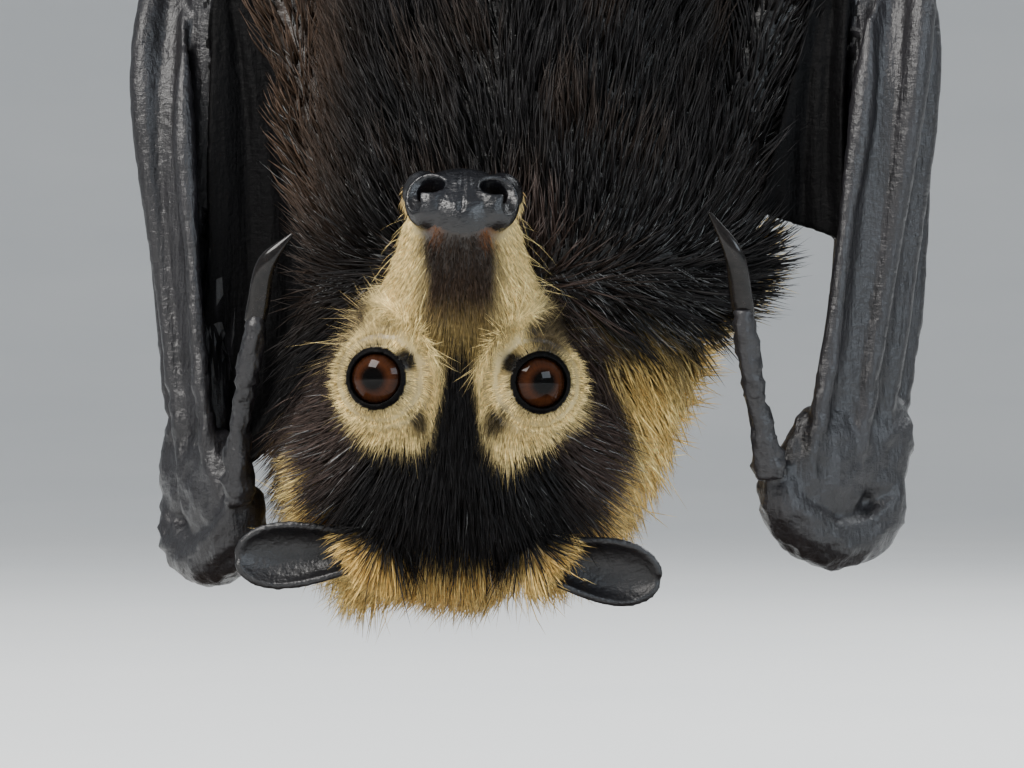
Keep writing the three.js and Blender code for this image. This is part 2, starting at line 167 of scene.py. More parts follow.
def stations(rows, count=48, around=56):
    """A closed body round upright stations: x, y, z of the middle, half-width, half-depth."""
    shares = 0.5 - 0.5 * np.cos(np.linspace(0.02, math.pi - 0.02, count))
    rows = np.asarray(rows, float)
    middle = path(rows[:, :3], shares)
    size = path(np.column_stack([rows[:, 3], rows[:, 4], rows[:, 2]]), shares)
    angle = np.linspace(0, 2 * math.pi, around, endpoint=False)
    ring = np.zeros((count, around, 3))
    ring[:, :, 0] = middle[:, None, 0] + np.abs(size[:, None, 0]) * np.cos(angle)
    ring[:, :, 1] = middle[:, None, 1] + np.abs(size[:, None, 1]) * np.sin(angle)
    ring[:, :, 2] = middle[:, None, 2]
    return loft(ring)


def frames_along(line, across):
    """Side and front vectors at each point of a line."""
    way = unit(np.gradient(line, axis=0))
    front = unit(np.cross(way, np.asarray(across, float)))
    return unit(np.cross(front, way)), front


def limb(points, radii, count=40, around=16, flat=1.0, across=(1, 0, 0), blunt=5):
    """A closed limb round a smooth path, with rounded ends."""
    shares = 0.5 - 0.5 * np.cos(np.linspace(0.04, math.pi - 0.04, count))
    line = path(points, shares)
    steps = np.column_stack([np.arange(len(radii)), radii, np.zeros(len(radii))])
    radius = path(steps, shares)[:, 1] * (1 - np.abs(2 * shares - 1) ** blunt) ** (1 / blunt)
    side, front = frames_along(line, across)
    angle = np.linspace(0, 2 * math.pi, around, endpoint=False)[None, :, None]
    r = radius[:, None, None]
    return loft(line[:, None] + r * np.cos(angle) * side[:, None] + r * flat * np.sin(angle) * front[:, None])


print("limb triangles:", len(limb([[0, 0, 0], [0, 0, 9]], [2, 1])[1]))

# %% [markdown]
# ## Leaves and balls
# Ears and wing skin are thin leaves. A plane with a Solidify modifier would do, but here the leaf's
# middle is a function, so that folds and pleats are written where they belong.

# %% Leaves and balls


def sheet(middle, columns, rows, thickness):
    """A thin closed leaf over middle(u, v), closed by a wall round its rim."""
    u, v = np.meshgrid(np.linspace(0, 1, columns), np.linspace(0, 1, rows))
    u, v = u.ravel(), v.ravel()
    step = 1e-3
    along_u = middle(np.minimum(u + step, 1), v) - middle(np.maximum(u - step, 0), v)
    along_v = middle(u, np.minimum(v + step, 1)) - middle(u, np.maximum(v - step, 0))
    normal = unit(np.cross(along_u, along_v))
    place = middle(u, v)
    top, bottom = place + normal * thickness / 2, place - normal * thickness / 2
    quads = grid_faces(rows, columns, closed=False)
    offset = len(place)
    rim = np.concatenate(
        [
            np.arange(columns),
            np.arange(1, rows) * columns + columns - 1,
            (rows - 1) * columns + np.arange(columns - 2, -1, -1),
            np.arange(rows - 2, 0, -1) * columns,
        ]
    )
    after = np.roll(rim, -1)
    walls = np.stack([rim, after, after + offset, rim + offset], 1)
    quads = np.concatenate([quads, quads[:, ::-1] + offset, walls[:, ::-1]])
    return outward(np.concatenate([top, bottom]), np.concatenate([quads[:, [0, 1, 2]], quads[:, [0, 2, 3]]]))


def ball_ways(lat, lon):
    """Directions from the angle off the axis and the angle round it."""
    x, y = np.sin(lat) * np.cos(lon), np.sin(lat) * np.sin(lon)
    return np.stack(np.broadcast_arrays(x, y, np.cos(lat)), -1)


def ball(centre, radius, rings=24, around=32):
    """A closed sphere, or an ellipsoid where radius has three values."""
    lat = np.linspace(0.03, math.pi - 0.03, rings)[:, None]
    lon = np.linspace(0, 2 * math.pi, around, endpoint=False)[None, :]
    return loft(ball_ways(lat, lon) * np.asarray(radius, float) + np.asarray(centre, float))


print("ball triangles:", len(ball([0, 0, 0], 1)[1]))

# %% [markdown]
# ## Meshes in and out of Blender
# The arrays become a mesh in one call each, which is much faster than adding vertices one by one.
# A modifier is applied at once, so that the next step works on what it made.

# %% Meshes in and out


def mesh_object(name, verts, tris, smooth=True):
    """A mesh object in metres from millimetre arrays."""
    mesh = bpy.data.meshes.new(name)
    mesh.vertices.add(len(verts))
    mesh.vertices.foreach_set("co", (np.asarray(verts, np.float32) * MM).ravel())
    mesh.loops.add(tris.size)
    mesh.loops.foreach_set("vertex_index", tris.astype(np.int32).ravel())
    mesh.polygons.add(len(tris))
    mesh.polygons.foreach_set("loop_start", np.arange(0, tris.size, tris.shape[1], dtype=np.int32))
    mesh.update(calc_edges=True)
    mesh.polygons.foreach_set("use_smooth", np.full(len(tris), smooth))
    made = bpy.data.objects.new(name, mesh)
    bpy.context.scene.collection.objects.link(made)
    return made


def coordinates(obj):
    """The vertices of an object's mesh in millimetres."""
    out = np.empty(len(obj.data.vertices) * 3, np.float32)
    obj.data.vertices.foreach_get("co", out)
    return out.reshape(-1, 3).astype(float) / MM


def set_coordinates(obj, verts):
    obj.data.vertices.foreach_set("co", (verts * MM).astype(np.float32).ravel())
    obj.data.update()


def triangles(obj):
    """The corner indices of a mesh's triangles."""
    obj.data.calc_loop_triangles()
    out = np.empty(len(obj.data.loop_triangles) * 3, np.int32)
    obj.data.loop_triangles.foreach_get("vertices", out)
    return out.reshape(-1, 3)


def apply_modifiers(obj):
    """Replace an object's mesh by what its modifiers make of it."""
    graph = bpy.context.evaluated_depsgraph_get()
    made = bpy.data.meshes.new_from_object(obj.evaluated_get(graph))
    old = obj.data
    made.materials.clear()
    obj.modifiers.clear()
    obj.data = made
    bpy.data.meshes.remove(old)


# %% [markdown]
# ## Soft irregularity
# Nothing on an animal is even. A few sine waves in random directions give a smooth field that is
# the same on every run, and a smooth step blends one region into the next.

# %% Soft irregularity


def wave(points, scale, seed):
    """A smooth random field between -1 and 1 over points, with features about scale long."""
    turn = np.random.default_rng(seed)
    total = np.zeros(len(points))
    for _ in range(6):
        way = unit(turn.normal(size=3)) * 2 * math.pi / scale * turn.uniform(0.6, 1.3)
        total += np.sin(points @ way + turn.uniform(0, 6.3))
    return total / 3.4


def step_between(low, high, value):
    """0 below low, 1 above high, smooth between."""
    t = np.clip((value - low) / (high - low), 0, 1)
    return t * t * (3 - 2 * t)


print("half way between 0 and 1:", step_between(0, 1, 0.5))

# %% [markdown]
# ## The head's own frame
# Its origin lies between the eyes, +Y runs along the muzzle and +Z through the crown. The head
# hangs crown down, with the muzzle raised 48 degrees above the horizon. Shaping it in place would
# mix that tilt into every number, so it is shaped upright and turned once.

# %% Head frame
HEAD_PLACE = Vector((-4, -30, 104))
pitch, roll, turn = math.radians(180 - 48), math.radians(1.5), math.radians(12)
head_turn = Matrix.Rotation(turn, 3, "Z") @ Matrix.Rotation(roll, 3, "Y") @ Matrix.Rotation(pitch, 3, "X")
HEAD_TURN = np.array(head_turn)
HEAD_ORIGIN = np.array(HEAD_PLACE)
EYE = {name: np.array([side * 12.6, 0.4, -0.6]) for name, side in SIDES.items()}
EYE_RADIUS = 6.2
GAZE = {name: unit(np.array([side * 0.3, 0.62, 0.72])) for name, side in SIDES.items()}


def from_head(points):
    return points @ HEAD_TURN.T + HEAD_ORIGIN


def to_head(points):
    return (points - HEAD_ORIGIN) @ HEAD_TURN


def on_head(part):
    return from_head(part[0]), part[1]


def across_gaze(way, name):
    """What is left of each vector without its share along an eye's gaze."""
    return way - np.outer(way @ GAZE[name], GAZE[name])


print("muzzle points to", HEAD_TURN[:, 1].round(3))

# %% [markdown]
# ## Skin of the head
# A flying fox has a long muzzle like a dog's. Its head could be sculpted by hand, but a sculpt is
# hard to correct by a millimetre. Here stations give the skull with its muscle, inside the coat.
# Round lobes make the nose pad, and a ball round each eye makes the lids. The mouth, the nostrils
# and the eye openings are cut later.

# %% Head shapes
HEAD_STATIONS = np.array(
    [
        [36.9, 0.4, -7.5, -9.5],
        [36.2, 5.6, -3.0, -13.6],
        [33.0, 7.6, -0.6, -16.6],
        [27.0, 8.9, 0.4, -18.4],
        [19.0, 10.2, 0.6, -19.4],
        [11.0, 12.2, 1.4, -20.2],
        [3.0, 15.4, 3.0, -20.6],
        [-5.0, 18.8, 6.2, -20.6],
        [-13.0, 21.6, 9.4, -20.0],
        [-21.0, 23.6, 10.6, -19.2],
        [-29.0, 23.8, 9.6, -18.0],
        [-36.0, 22.0, 6.4, -14.0],
        [-41.0, 15.5, 1.4, -8.0],
        [-43.0, 0.4, -3.0, -4.0],
    ]
)


def head_body(count=90, around=72):
    """The skull with its muscle, a little narrower above than below."""
    shares = 0.5 - 0.5 * np.cos(np.linspace(0.02, math.pi - 0.02, count))
    upper = path(HEAD_STATIONS[:, [0, 1, 2]], shares)
    lower = path(HEAD_STATIONS[:, [0, 3, 2]], shares)
    angle = np.linspace(0, 2 * math.pi, around, endpoint=False)[None, :]
    middle, height = (upper[:, 2] + lower[:, 1]) / 2, (upper[:, 2] - lower[:, 1]) / 2
    width = np.abs(upper[:, 1:2]) * np.sin(angle) * (1 - 0.16 * np.cos(angle))
    ring = np.stack(
        [width, np.repeat(upper[:, :1], around, 1), middle[:, None] + height[:, None] * np.cos(angle)], -1
    )
    return loft(ring)


EAR_HALF_WIDTH = 7.4
EAR_THICKNESS = 1.3
EAR_ROOT = {"left": [-16.0, -30.0, 10.2], "right": [14.5, -30.8, 10.2]}
EAR_TIP = {"left": [-37.8, -31.6, 11.6], "right": [35.6, -34.2, 11.6]}


def ear_leaf(name):
    """A hollow leaf, rolled into a funnel at its root and open towards its tip."""
    side = SIDES[name]
    root, tip = np.array(EAR_ROOT[name]), np.array(EAR_TIP[name])
    hollow = np.array([side * 0.1, 0.66, 0.75])
    along = tip - root
    way = unit(along)
    out = unit(hollow - way * (hollow @ way))
    across = np.cross(way, out)

    def middle(u, v):
        narrowing = 1 - 0.985 * np.clip((v - 0.28) / 0.72, 0, 1) ** 2.3
        half = EAR_HALF_WIDTH * np.sqrt(np.maximum(narrowing, 0)) * (0.72 + 0.28 * v)
        reach = np.radians(128 - 86 * v**0.7)
        radius = half / reach * 1.15
        turn_by = (2 * u - 1) * reach
        lift = -radius * (np.cos(turn_by) - np.cos(reach)) - 1.2 * v**2
        sway = 0.5 * np.sin(turn_by * 2.3 + v * 4) * v
        return (
            root
            + along * v[:, None]
            + across * (radius * np.sin(turn_by))[:, None]
            + out * (lift + sway * 0.5)[:, None]
        )

    return sheet(middle, 48, 52, EAR_THICKNESS)


print("skull length:", HEAD_STATIONS[0, 0] - HEAD_STATIONS[-1, 0])

# %% [markdown]
# ## Putting the head together
# The shapes only have to cross each other, because they are fused later. Each one carries the name
# of its region, from which the bare and the furred parts are told apart.

# %% Head ingredients
ingredients = []


def add_skin(part, label):
    ingredients.append((part[0], part[1], label))


add_skin(on_head(head_body()), "head")
for name, side in SIDES.items():
    add_skin(on_head(ball(EYE[name] - GAZE[name] * 0.3, 7.25)), "head")
    add_skin(on_head(ball([side * 5.1, 33.2, -8.2], [4.5, 4.3, 5.6])), "nose")
    add_skin(on_head(ball([side * 6.6, 30.8, -13.2], [3.6, 4.4, 3.6])), "head")
    add_skin(on_head(ear_leaf(name)), "ear")
    ear_root = [[side * 10, -27, 2], [side * 14, -30, 9], [side * 18, -31.5, 11]]
    add_skin(on_head(limb(ear_root, [6, 5, 3.5])), "head")
add_skin(on_head(ball([0, 33.4, -9.0], [4.0, 3.9, 6.2])), "nose")


def ring_round(name, reach, forward, radius):
    """A closed fold of skin that rings an eye."""
    gaze = GAZE[name]
    side_way = unit(np.cross(gaze, [0, 0, 1.0]))
    up_way = np.cross(side_way, gaze)
    around = np.linspace(0, 2 * math.pi, 72, endpoint=False)[:, None, None]
    section = np.linspace(0, 2 * math.pi, 14, endpoint=False)[None, :, None]
    out = np.cos(around) * side_way + np.sin(around) * up_way * 0.95
    ring = EYE[name] + gaze * forward + out * (reach + radius * np.cos(section))
    ring = ring + gaze * (radius * np.sin(section))
    count, wide, _ = ring.shape
    quads = grid_faces(count + 1, wide) % (count * wide)
    return outward(ring.reshape(-1, 3), np.concatenate([quads[:, [0, 1, 2]], quads[:, [0, 2, 3]]]))


for name in SIDES:
    add_skin(on_head(ring_round(name, 5.0, 4.3, 0.5)), "lid")
    add_skin(on_head(ring_round(name, 7.3, 1.6, 0.9)), "lid")
add_skin(on_head(limb([[0, 30, -16.4], [0, 20, -17.8], [0, 6, -17]], [5.2, 7.4, 9], flat=0.8)), "head")
print("head ingredients:", len(ingredients))

# %% [markdown]
# ## Skin of the neck, trunk, legs and wings
# These repeat the places of the solids, drawn in by the depth of the coat. The left wing hangs
# four millimetres lower than the right one. A bat could be modelled with its wings spread and then
# folded by an armature, but a still model is simpler to build in its pose.

# %% Body shapes
NECK = [
    [-9.5, -1, 71, 0.4, 0.4],
    [-9.5, 0, 73, 12, 9],
    [-9.3, 3, 80, 21, 14.5],
    [-8.6, 6, 92, 27.5, 17.5],
    [-6.5, 8, 104, 30.5, 18.5],
    [-2.5, 9, 120, 32.5, 20],
    [0, 9, 134, 26, 18],
    [0, 9, 141, 0.4, 0.4],
]
TRUNK = [
    [0, 6, 108, 0.4, 0.4],
    [0.5, 6, 110, 16, 11],
    [1.5, 6.5, 116, 29, 19],
    [2.5, 7, 126, 36.5, 23.5],
    [1, 8, 146, 34.5, 24.5],
    [0, 9, 172, 32, 24],
    [0, 10, 200, 30, 22.5],
    [0, 11, 226, 25.5, 19.5],
    [0, 12, 246, 18.5, 14.5],
    [0, 12, 257, 10.5, 8.5],
    [0, 12, 261, 0.4, 0.4],
]
LIMBS = {
    "upper_arm": ([[27, 8, 128], [37, 10, 152], [50, 14, 192], [58, 17, 228]], [10, 9, 6.2, 5.4, 4.2]),
    "forearm": ([[58, 17, 233], [59.5, 15, 196], [59.2, 8, 140], [55, 1, 84]], [4.0, 5.3, 4.3, 3.6, 3.5]),
    "thigh": ([[12, 11, 226], [19, 12, 242], [31, 15, 262], [39.5, 18, 284]], [10, 12, 9, 7, 5.2]),
    "shin": ([[39, 18.5, 273], [33.5, 20.5, 314], [20, 16.5, 358]], [4.6, 4.6, 3.6, 3.0]),
}
WRIST = (
    [[47, -9.5, 91], [49, -7.5, 82.5], [55.5, -0.5, 77], [62, 7, 80.5], [65, 10, 92]],
    [3.9, 5.6, 6.2, 6.0, 3.8],
)
PALM = ([[52, -5.5, 82], [55, -2.5, 90], [58, 1, 98]], [8, 9.5, 8])
PALM_EDGE = ([[60, 4, 84], [62.5, 7.5, 93], [64, 10, 102]], [7, 7.5, 5])
FINGERS = {
    2: (
        [[51.5, -8.5, 85], [55.5, -6.5, 104], [58.5, -3.5, 130], [61, 0, 152], [62, 3.5, 168]],
        [2.3, 1.9, 1.5, 2.3, 0.9],
    ),
    3: (
        [[59, -2, 84], [64.5, 2, 120], [70.4, 7, 168], [67, 26, 200], [49, 44, 240], [25, 50, 276]],
        [2.1, 1.9, 2.7, 1.5, 1.2, 0.7],
    ),
    4: (
        [[62.5, 5, 88], [67.5, 9.5, 122], [70.2, 14.5, 169], [58.5, 24.5, 195], [43.5, 37, 232]]
        + [[26, 43, 262]],
        [2.0, 1.8, 2.5, 1.4, 1.1, 0.7],
    ),
    5: (
        [[64.5, 12, 90], [68.5, 16, 122], [66.5, 20.8, 164], [53, 23, 189], [40, 31, 225], [28.5, 36, 250]],
        [1.9, 1.7, 2.1, 1.3, 1.0, 0.7],
    ),
}
THUMBS = {
    "right": [[47, -13, 88], [46.2, -15.5, 95], [44.6, -19, 106], [43.4, -21.8, 117]],
    "left": [[-47.2, -13, 83], [-47, -15, 92], [-44.6, -18, 104], [-42, -20, 116]],
}
CLAWS = {
    "right": [[43.3, -22.2, 119], [42.6, -25.6, 126], [38.6, -26.2, 133]],
    "left": [[-41.8, -20.2, 118], [-39.8, -22, 125], [-35.4, -21.6, 130]],
}
WEBS = [(2, 3, (-1, 1.2), (1.0, 0.56)), (3, 4, (-1.2, 0.4), (0.97, 0.97)), (4, 5, (-1.2, 0.4), (0.97, 0.97))]
MEMBRANES = {
    "shoulder": (
        [[42, 3, 134], [47, 4.5, 154], [53, 10, 182]],
        [[57.5, 2.5, 129], [57.5, 3, 152], [58, 9, 182]],
        (0, 3, 0),
    ),
    "arm": (
        [[32, 16, 138], [29, 22, 165], [26, 24, 198], [17, 23, 240], [24, 22, 290], [20.4, 17.6, 351]],
        [[64.5, 16.5, 138], [62, 19.5, 164], [48.5, 25, 192], [35, 31, 222], [31, 31, 290]]
        + [[21.4, 17.8, 351]],
        (0, 2.5, 0),
    ),
}
LEFT_FOLD = (
    [[50, -1, 93], [36, 4, 107], [35, 5, 134], [42, 5.5, 154], [53, 10, 182]],
    [[56, 1, 90], [58, 2, 108], [57.5, 2.5, 129], [57.5, 3, 152], [58, 9, 182]],
)
WING_DROP = {"left": 4, "right": 0}
WING_SKIN = 1.25
print("fingers:", len(FINGERS), "membranes:", len(MEMBRANES))

# %% [markdown]
# ## Wing skin
# The skin of a folded wing hangs in pleats between the fingers. A cloth simulation could drape it,
# but written folds stay the same on every run and keep clear of the bones. It is thicker here than
# in life, so that the fusing later leaves no holes in it.

# %% Wing skin


def placed(points, name, hung=True):
    """Points of the right side, mirrored and lowered for the side asked."""
    moved = np.asarray(points, float).copy()
    moved[:, 0] *= SIDES[name]
    if hung:
        moved[:, 2] -= WING_DROP[name]
    return moved


def finger_line(number, name, shares):
    points, radii = FINGERS[number]
    steps = np.column_stack([np.arange(len(radii)), radii, np.zeros(len(radii))])
    return path(placed(points, name), shares), path(steps, shares)[:, 1]


def web_part(first, second, fold, until, name):
    """The skin between two fingers, which drops inwards and pleats lengthwise."""

    def middle(u, v):
        a, _ = finger_line(first, name, 0.06 + (until[0] - 0.06) * v)
        b, _ = finger_line(second, name, 0.06 + (until[1] - 0.06) * v)
        fullness = np.sin(math.pi * u) * np.sin(math.pi * (0.05 + 0.9 * v)) ** 0.6
        pleat = 0.45 * np.sin(u * 4 * math.pi) * fullness
        slack = np.array([fold[0] * SIDES[name], fold[1], 0])
        out = np.array([0.5 * SIDES[name], -0.4, 0])
        return a + (b - a) * u[:, None] + slack * fullness[:, None] + out * pleat[:, None]

    return sheet(middle, 26, 130, WING_SKIN)


def membrane_part(key, name):
    """The skin from the trunk to the arm; the left one at the shoulder reaches the wrist."""
    inner, outer, slack = MEMBRANES[key]
    if key == "shoulder" and name == "left":
        inner, outer = LEFT_FOLD
    bow = np.array([slack[0] * SIDES[name], slack[1], slack[2]])

    def middle(u, v):
        a = path(placed(inner, name), v)
        b = path(placed(outer, name), v)
        fullness = np.sin(math.pi * u) * (1 - 0.7 * v**4)
        folds = 0.7 * np.sin(u * 5 * math.pi + v * 6) * np.sin(math.pi * u)
        return a + (b - a) * u[:, None] + bow * fullness[:, None] + np.array([0, 1.0, 0]) * folds[:, None]

    return sheet(middle, 44, 150, WING_SKIN)


print("wing skin is", WING_SKIN, "mm thick")

# %% [markdown]
# ## Body ingredients
# Trunk and neck first, then each side's limbs, hand and wing skin. Upper arm and leg don't hang
# lower with the wing, because they are fixed to the trunk.

# %% Body ingredients
add_skin(stations(NECK), "neck")
add_skin(stations(TRUNK, 70, 64), "trunk")
for name, side in SIDES.items():
    add_skin(limb(placed(LIMBS["upper_arm"][0], name, False), LIMBS["upper_arm"][1], around=24), "upper_arm")
    add_skin(limb(placed(LIMBS["thigh"][0], name, False), LIMBS["thigh"][1], around=24), "thigh")
    add_skin(limb(placed(LIMBS["shin"][0], name, False), LIMBS["shin"][1]), "shin")
    add_skin(limb(placed(LIMBS["forearm"][0], name), LIMBS["forearm"][1], 60, 20), "wing")
    across = np.array([-0.6 * side, 0.8, 0])
    palm_way = across * [-1, 1, 1] * [1, 0.75, 1]
    add_skin(limb(placed(PALM[0], name), PALM[1], 30, 40, 0.5, palm_way), "wing")
    add_skin(limb(placed(WRIST[0], name), WRIST[1], 60, 28, 0.86, across, 4), "wing")
    add_skin(limb(placed(PALM_EDGE[0], name), PALM_EDGE[1], 30, 30, 0.6, palm_way), "wing")
    add_skin(limb(THUMBS[name], [3.9, 2.7, 2.0, 2.2, 2.35], 60, 20), "thumb")
    for number, (points, radii) in FINGERS.items():
        add_skin(limb(placed(points, name), radii, 110, 12, blunt=12), "wing")
    for first, second, fold, until in WEBS:
        add_skin(web_part(first, second, fold, until, name), "wing")
    for key in MEMBRANES:
        add_skin(membrane_part(key, name), "membrane")
print("ingredients with the body:", len(ingredients))

# %% [markdown]
# ## Feet
# Each foot is a flat sole with five toes that hook over the perch from behind, and the bat hangs
# from them by its own weight. Straight toes could be curled with bones. Laying each toe round the
# perch from the start is shorter, and it leaves no gap under them.

# %% Feet
PERCH = {"radius": 9.5, "height": 386.0, "length": 236.0, "taper": 0.9}
HEEL = 352
TOE_RADIUS = 1.6
TOE_SPREAD = 3.7
toe_reach = PERCH["radius"] + TOE_RADIUS + 0.8
ankle = LIMBS["shin"][0][2]


def round_perch(number, degrees, reach):
    """A place round the perch for one toe, where 0 degrees is behind it and 90 on top."""
    angle = math.radians(degrees)
    spread = (number - 2) * TOE_SPREAD
    return [ankle[0] + spread, reach * math.cos(angle), PERCH["height"] + reach * math.sin(angle)]


def toe_points(number):
    """A toe from the sole up behind the perch and over its top."""
    spread = (number - 2) * TOE_SPREAD
    start = [
        [ankle[0] + spread * 0.4, ankle[1], HEEL + 5],
        [ankle[0] + spread * 0.8, ankle[1] - 0.6, HEEL + 20],
    ]
    return start + [round_perch(number, degrees, toe_reach) for degrees in (8, 50, 92, 128)]


for name in SIDES:
    sole = [[ankle[0], ankle[1] - back, HEEL + up] for back, up in ((0, -3), (0.4, 10), (1.6, 24))]
    add_skin(limb(placed(sole, name, False), [4.1, 5.4, 7.2], flat=0.42, blunt=4), "foot")
    for number in range(5):
        radii = [2.0, 1.8, 1.5, 1.65, 1.35, 1.5, 1.2]
        add_skin(limb(placed(toe_points(number), name, False), radii, 60, 12, blunt=12), "foot")
print("skin ingredients:", len(ingredients))

# %% [markdown]
# ## Two even skins
# All the shapes are fused into closed surfaces with an even fine mesh, so that no seam shows. One
# mesh for the whole animal would have to be as fine as the face needs, so the head gets a finer one
# than the body.

# %% Two even skins
HEAD_VOXEL = 0.36
BODY_VOXEL = 0.6
HEAD_LABELS = ("head", "nose", "lid", "ear")


def joined_mesh(name, parts):
    """Many closed bodies as one object, still crossing each other."""
    verts = np.concatenate([part[0] for part in parts])
    starts = np.cumsum([0] + [len(part[0]) for part in parts[:-1]])
    tris = np.concatenate([part[1] + start for part, start in zip(parts, starts)])
    return mesh_object(name, verts, tris)


def even_mesh(obj, voxel, smoothing):
    """One closed surface of even squares round everything in the object."""
    remesh = obj.modifiers.new("remesh", "REMESH")
    remesh.mode = "VOXEL"
    remesh.voxel_size = voxel * MM
    if smoothing:
        smooth = obj.modifiers.new("smooth", "SMOOTH")
        smooth.factor = 0.5
        smooth.iterations = smoothing
    apply_modifiers(obj)


skin = joined_mesh("skin", [part for part in ingredients if part[2] in HEAD_LABELS])
body_skin = joined_mesh("body_skin", [part for part in ingredients if part[2] not in HEAD_LABELS])
even_mesh(skin, HEAD_VOXEL, 2)
even_mesh(body_skin, BODY_VOXEL, 4)
print("head skin:", len(skin.data.vertices), "vertices; body skin:", len(body_skin.data.vertices))

# %% [markdown]
# ## Openings
# Cut edges are crisp in a way that painted ones aren't: the eyes, the comma-shaped nostrils, the
# groove of the nose and the mouth are all cut out.

# %% Openings


def cut(obj, part, name="cutter"):
    """Take a closed shape out of an object."""
    cutter = mesh_object(name, part[0], part[1])
    for shape in (obj, cutter):
        shape.modifiers.clear()
    change = obj.modifiers.new("cut", "BOOLEAN")
    change.operation = "DIFFERENCE"
    change.object = cutter
    change.solver = "MANIFOLD"
    apply_modifiers(obj)
    bpy.data.objects.remove(cutter)


def opening(name):
    """The way into the eye: a short slightly flattened tube along the gaze."""
    line = np.array([EYE[name] + GAZE[name] * 2, EYE[name] + GAZE[name] * 9])
    along = np.linspace(0, 1, 8)
    centre = line[0] + (line[1] - line[0]) * along[:, None]
    side_way = unit(np.cross(GAZE[name], [0, 0, 1.0]))
    up_way = np.cross(side_way, GAZE[name])
    angle = np.linspace(0, 2 * math.pi, 48, endpoint=False)[None, :, None]
    wide = (4.35 + 1.2 * along**2)[:, None, None]
    ring = centre[:, None] + wide * np.cos(angle) * side_way + wide * 0.94 * np.sin(angle) * up_way
    return loft(ring)


for name, side in SIDES.items():
    cut(skin, on_head(ball(EYE[name], EYE_RADIUS + 0.12, 40, 56)))
    cut(skin, on_head(opening(name)))
    comma = [
        [side * 3.5, 37.9, -8.4],
        [side * 5.0, 37.8, -9.0],
        [side * 6.9, 36.9, -8.9],
        [side * 8.1, 35.9, -7.6],
        [side * 8.2, 35.4, -5.8],
        [side * 7.2, 35.4, -4.0],
    ]
    cut(skin, on_head(limb(comma, [1.5, 2.5, 2.3, 1.9, 1.6, 1.1], 40, 18)))
    deep = [[side * 5.4, 38.8, -8.6], [side * 5.2, 34.0, -8.8], [side * 4.8, 30.5, -8.8]]
    cut(skin, on_head(limb(deep, [2.7, 2.2, 1.6], 24, 18)))
groove = [[0, 35.4, -2.4], [0, 37.2, -5], [0, 37.6, -9.5], [0, 36.9, -14], [0, 35.4, -16]]
cut(skin, on_head(limb(groove, [0.4, 0.75, 0.85, 0.8, 0.5], 30, 12)))


def mouth_plane(u, v):
    """The closed mouth, a leaf that droops in the middle."""
    across = 2 * u - 1
    return np.stack([across * 16, 9 + 31 * v, -14.9 - 0.7 * v + 0.8 * across**2], -1)


cut(skin, on_head(sheet(mouth_plane, 12, 12, 1.1)))
print("skin after cutting:", len(skin.data.vertices), "vertices")

# %% [markdown]
# ## One skin
# A second even mesh rounds the cut edges. Then head and body are joined into one surface, which
# carries the coat and the markings.

# %% One skin
BODY_FACES = 170000
even_mesh(skin, HEAD_VOXEL, 3)
thin = body_skin.modifiers.new("thin", "DECIMATE")
thin.ratio = min(1.0, BODY_FACES / (2 * len(body_skin.data.vertices)))
join = skin.modifiers.new("join", "BOOLEAN")
apply_modifiers(body_skin)
join.operation = "UNION"
join.object = body_skin
join.solver = "MANIFOLD"
apply_modifiers(skin)
bpy.data.objects.remove(body_skin)
skin.data.polygons.foreach_set("use_smooth", np.full(len(skin.data.polygons), True))
print("skin when joined:", len(skin.data.vertices), "vertices")

# %% [markdown]
# ## Materials
# Every surface is made of nodes: a noise or a wave drives the colour, the roughness and the bump.
# Image textures would tie the script to picture files, so there are none. These helpers keep each
# material short.

# %% Material tools


def new_material(name):
    material = bpy.data.materials.new(name)
    material.use_nodes = True
    nodes, links = material.node_tree.nodes, material.node_tree.links
    return material, nodes, links, nodes["Principled BSDF"]


def linear(color):
    """A screen colour from 0 to 255 as linear light."""
    c = np.asarray(color, float) / 255
    return np.where(c <= 0.04045, c / 12.92, ((c + 0.055) / 1.055) ** 2.4)


def paint(color):
    return (*[float(v) for v in linear(color)], 1.0)


def add_node(nodes, kind, **values):
    node = nodes.new(kind)
    for key, value in values.items():
        if hasattr(node, key):
            setattr(node, key, value)
        else:
            node.inputs[key.replace("_", " ")].default_value = value
    return node


def place_input(nodes, links, stretch=(1, 1, 1), source="Object"):
    """Coordinates on the object, stretched along an axis."""
    where = nodes.new("ShaderNodeTexCoord")
    mapping = nodes.new("ShaderNodeMapping")
    mapping.inputs["Scale"].default_value = stretch
    links.new(where.outputs[source], mapping.inputs["Vector"])
    return mapping.outputs["Vector"]


def noise(nodes, links, vector, scale, detail=4, roughness=0.55):
    node = add_node(nodes, "ShaderNodeTexNoise", Scale=scale, Detail=detail, Roughness=roughness)
    links.new(vector, node.inputs["Vector"])
    return node.outputs["Fac"]


def ramp(nodes, links, value, stops):
    """Colours from a value; stops are (place, screen colour)."""
    node = nodes.new("ShaderNodeValToRGB")
    while len(node.color_ramp.elements) < len(stops):
        node.color_ramp.elements.new(0.5)
    for element, (place, color) in zip(node.color_ramp.elements, stops):
        element.position = place
        element.color = paint(color)
    links.new(value, node.inputs["Fac"])
    return node.outputs["Color"]


def mix(nodes, links, factor, first, second, blend="MIX"):
    node = nodes.new("ShaderNodeMix")
    node.data_type = "RGBA"
    node.blend_type = blend
    for socket, value in ((0, factor), (6, first), (7, second)):
        if hasattr(value, "links"):
            links.new(value, node.inputs[socket])
        else:
            node.inputs[socket].default_value = value
    return node.outputs[2]


def bump(nodes, links, height, distance, strength=1.0, before=None):
    node = nodes.new("ShaderNodeBump")
    node.inputs["Distance"].default_value = distance
    node.inputs["Strength"].default_value = strength
    links.new(height, node.inputs["Height"])
    if before is not None:
        links.new(before, node.inputs["Normal"])
    return node.outputs["Normal"]


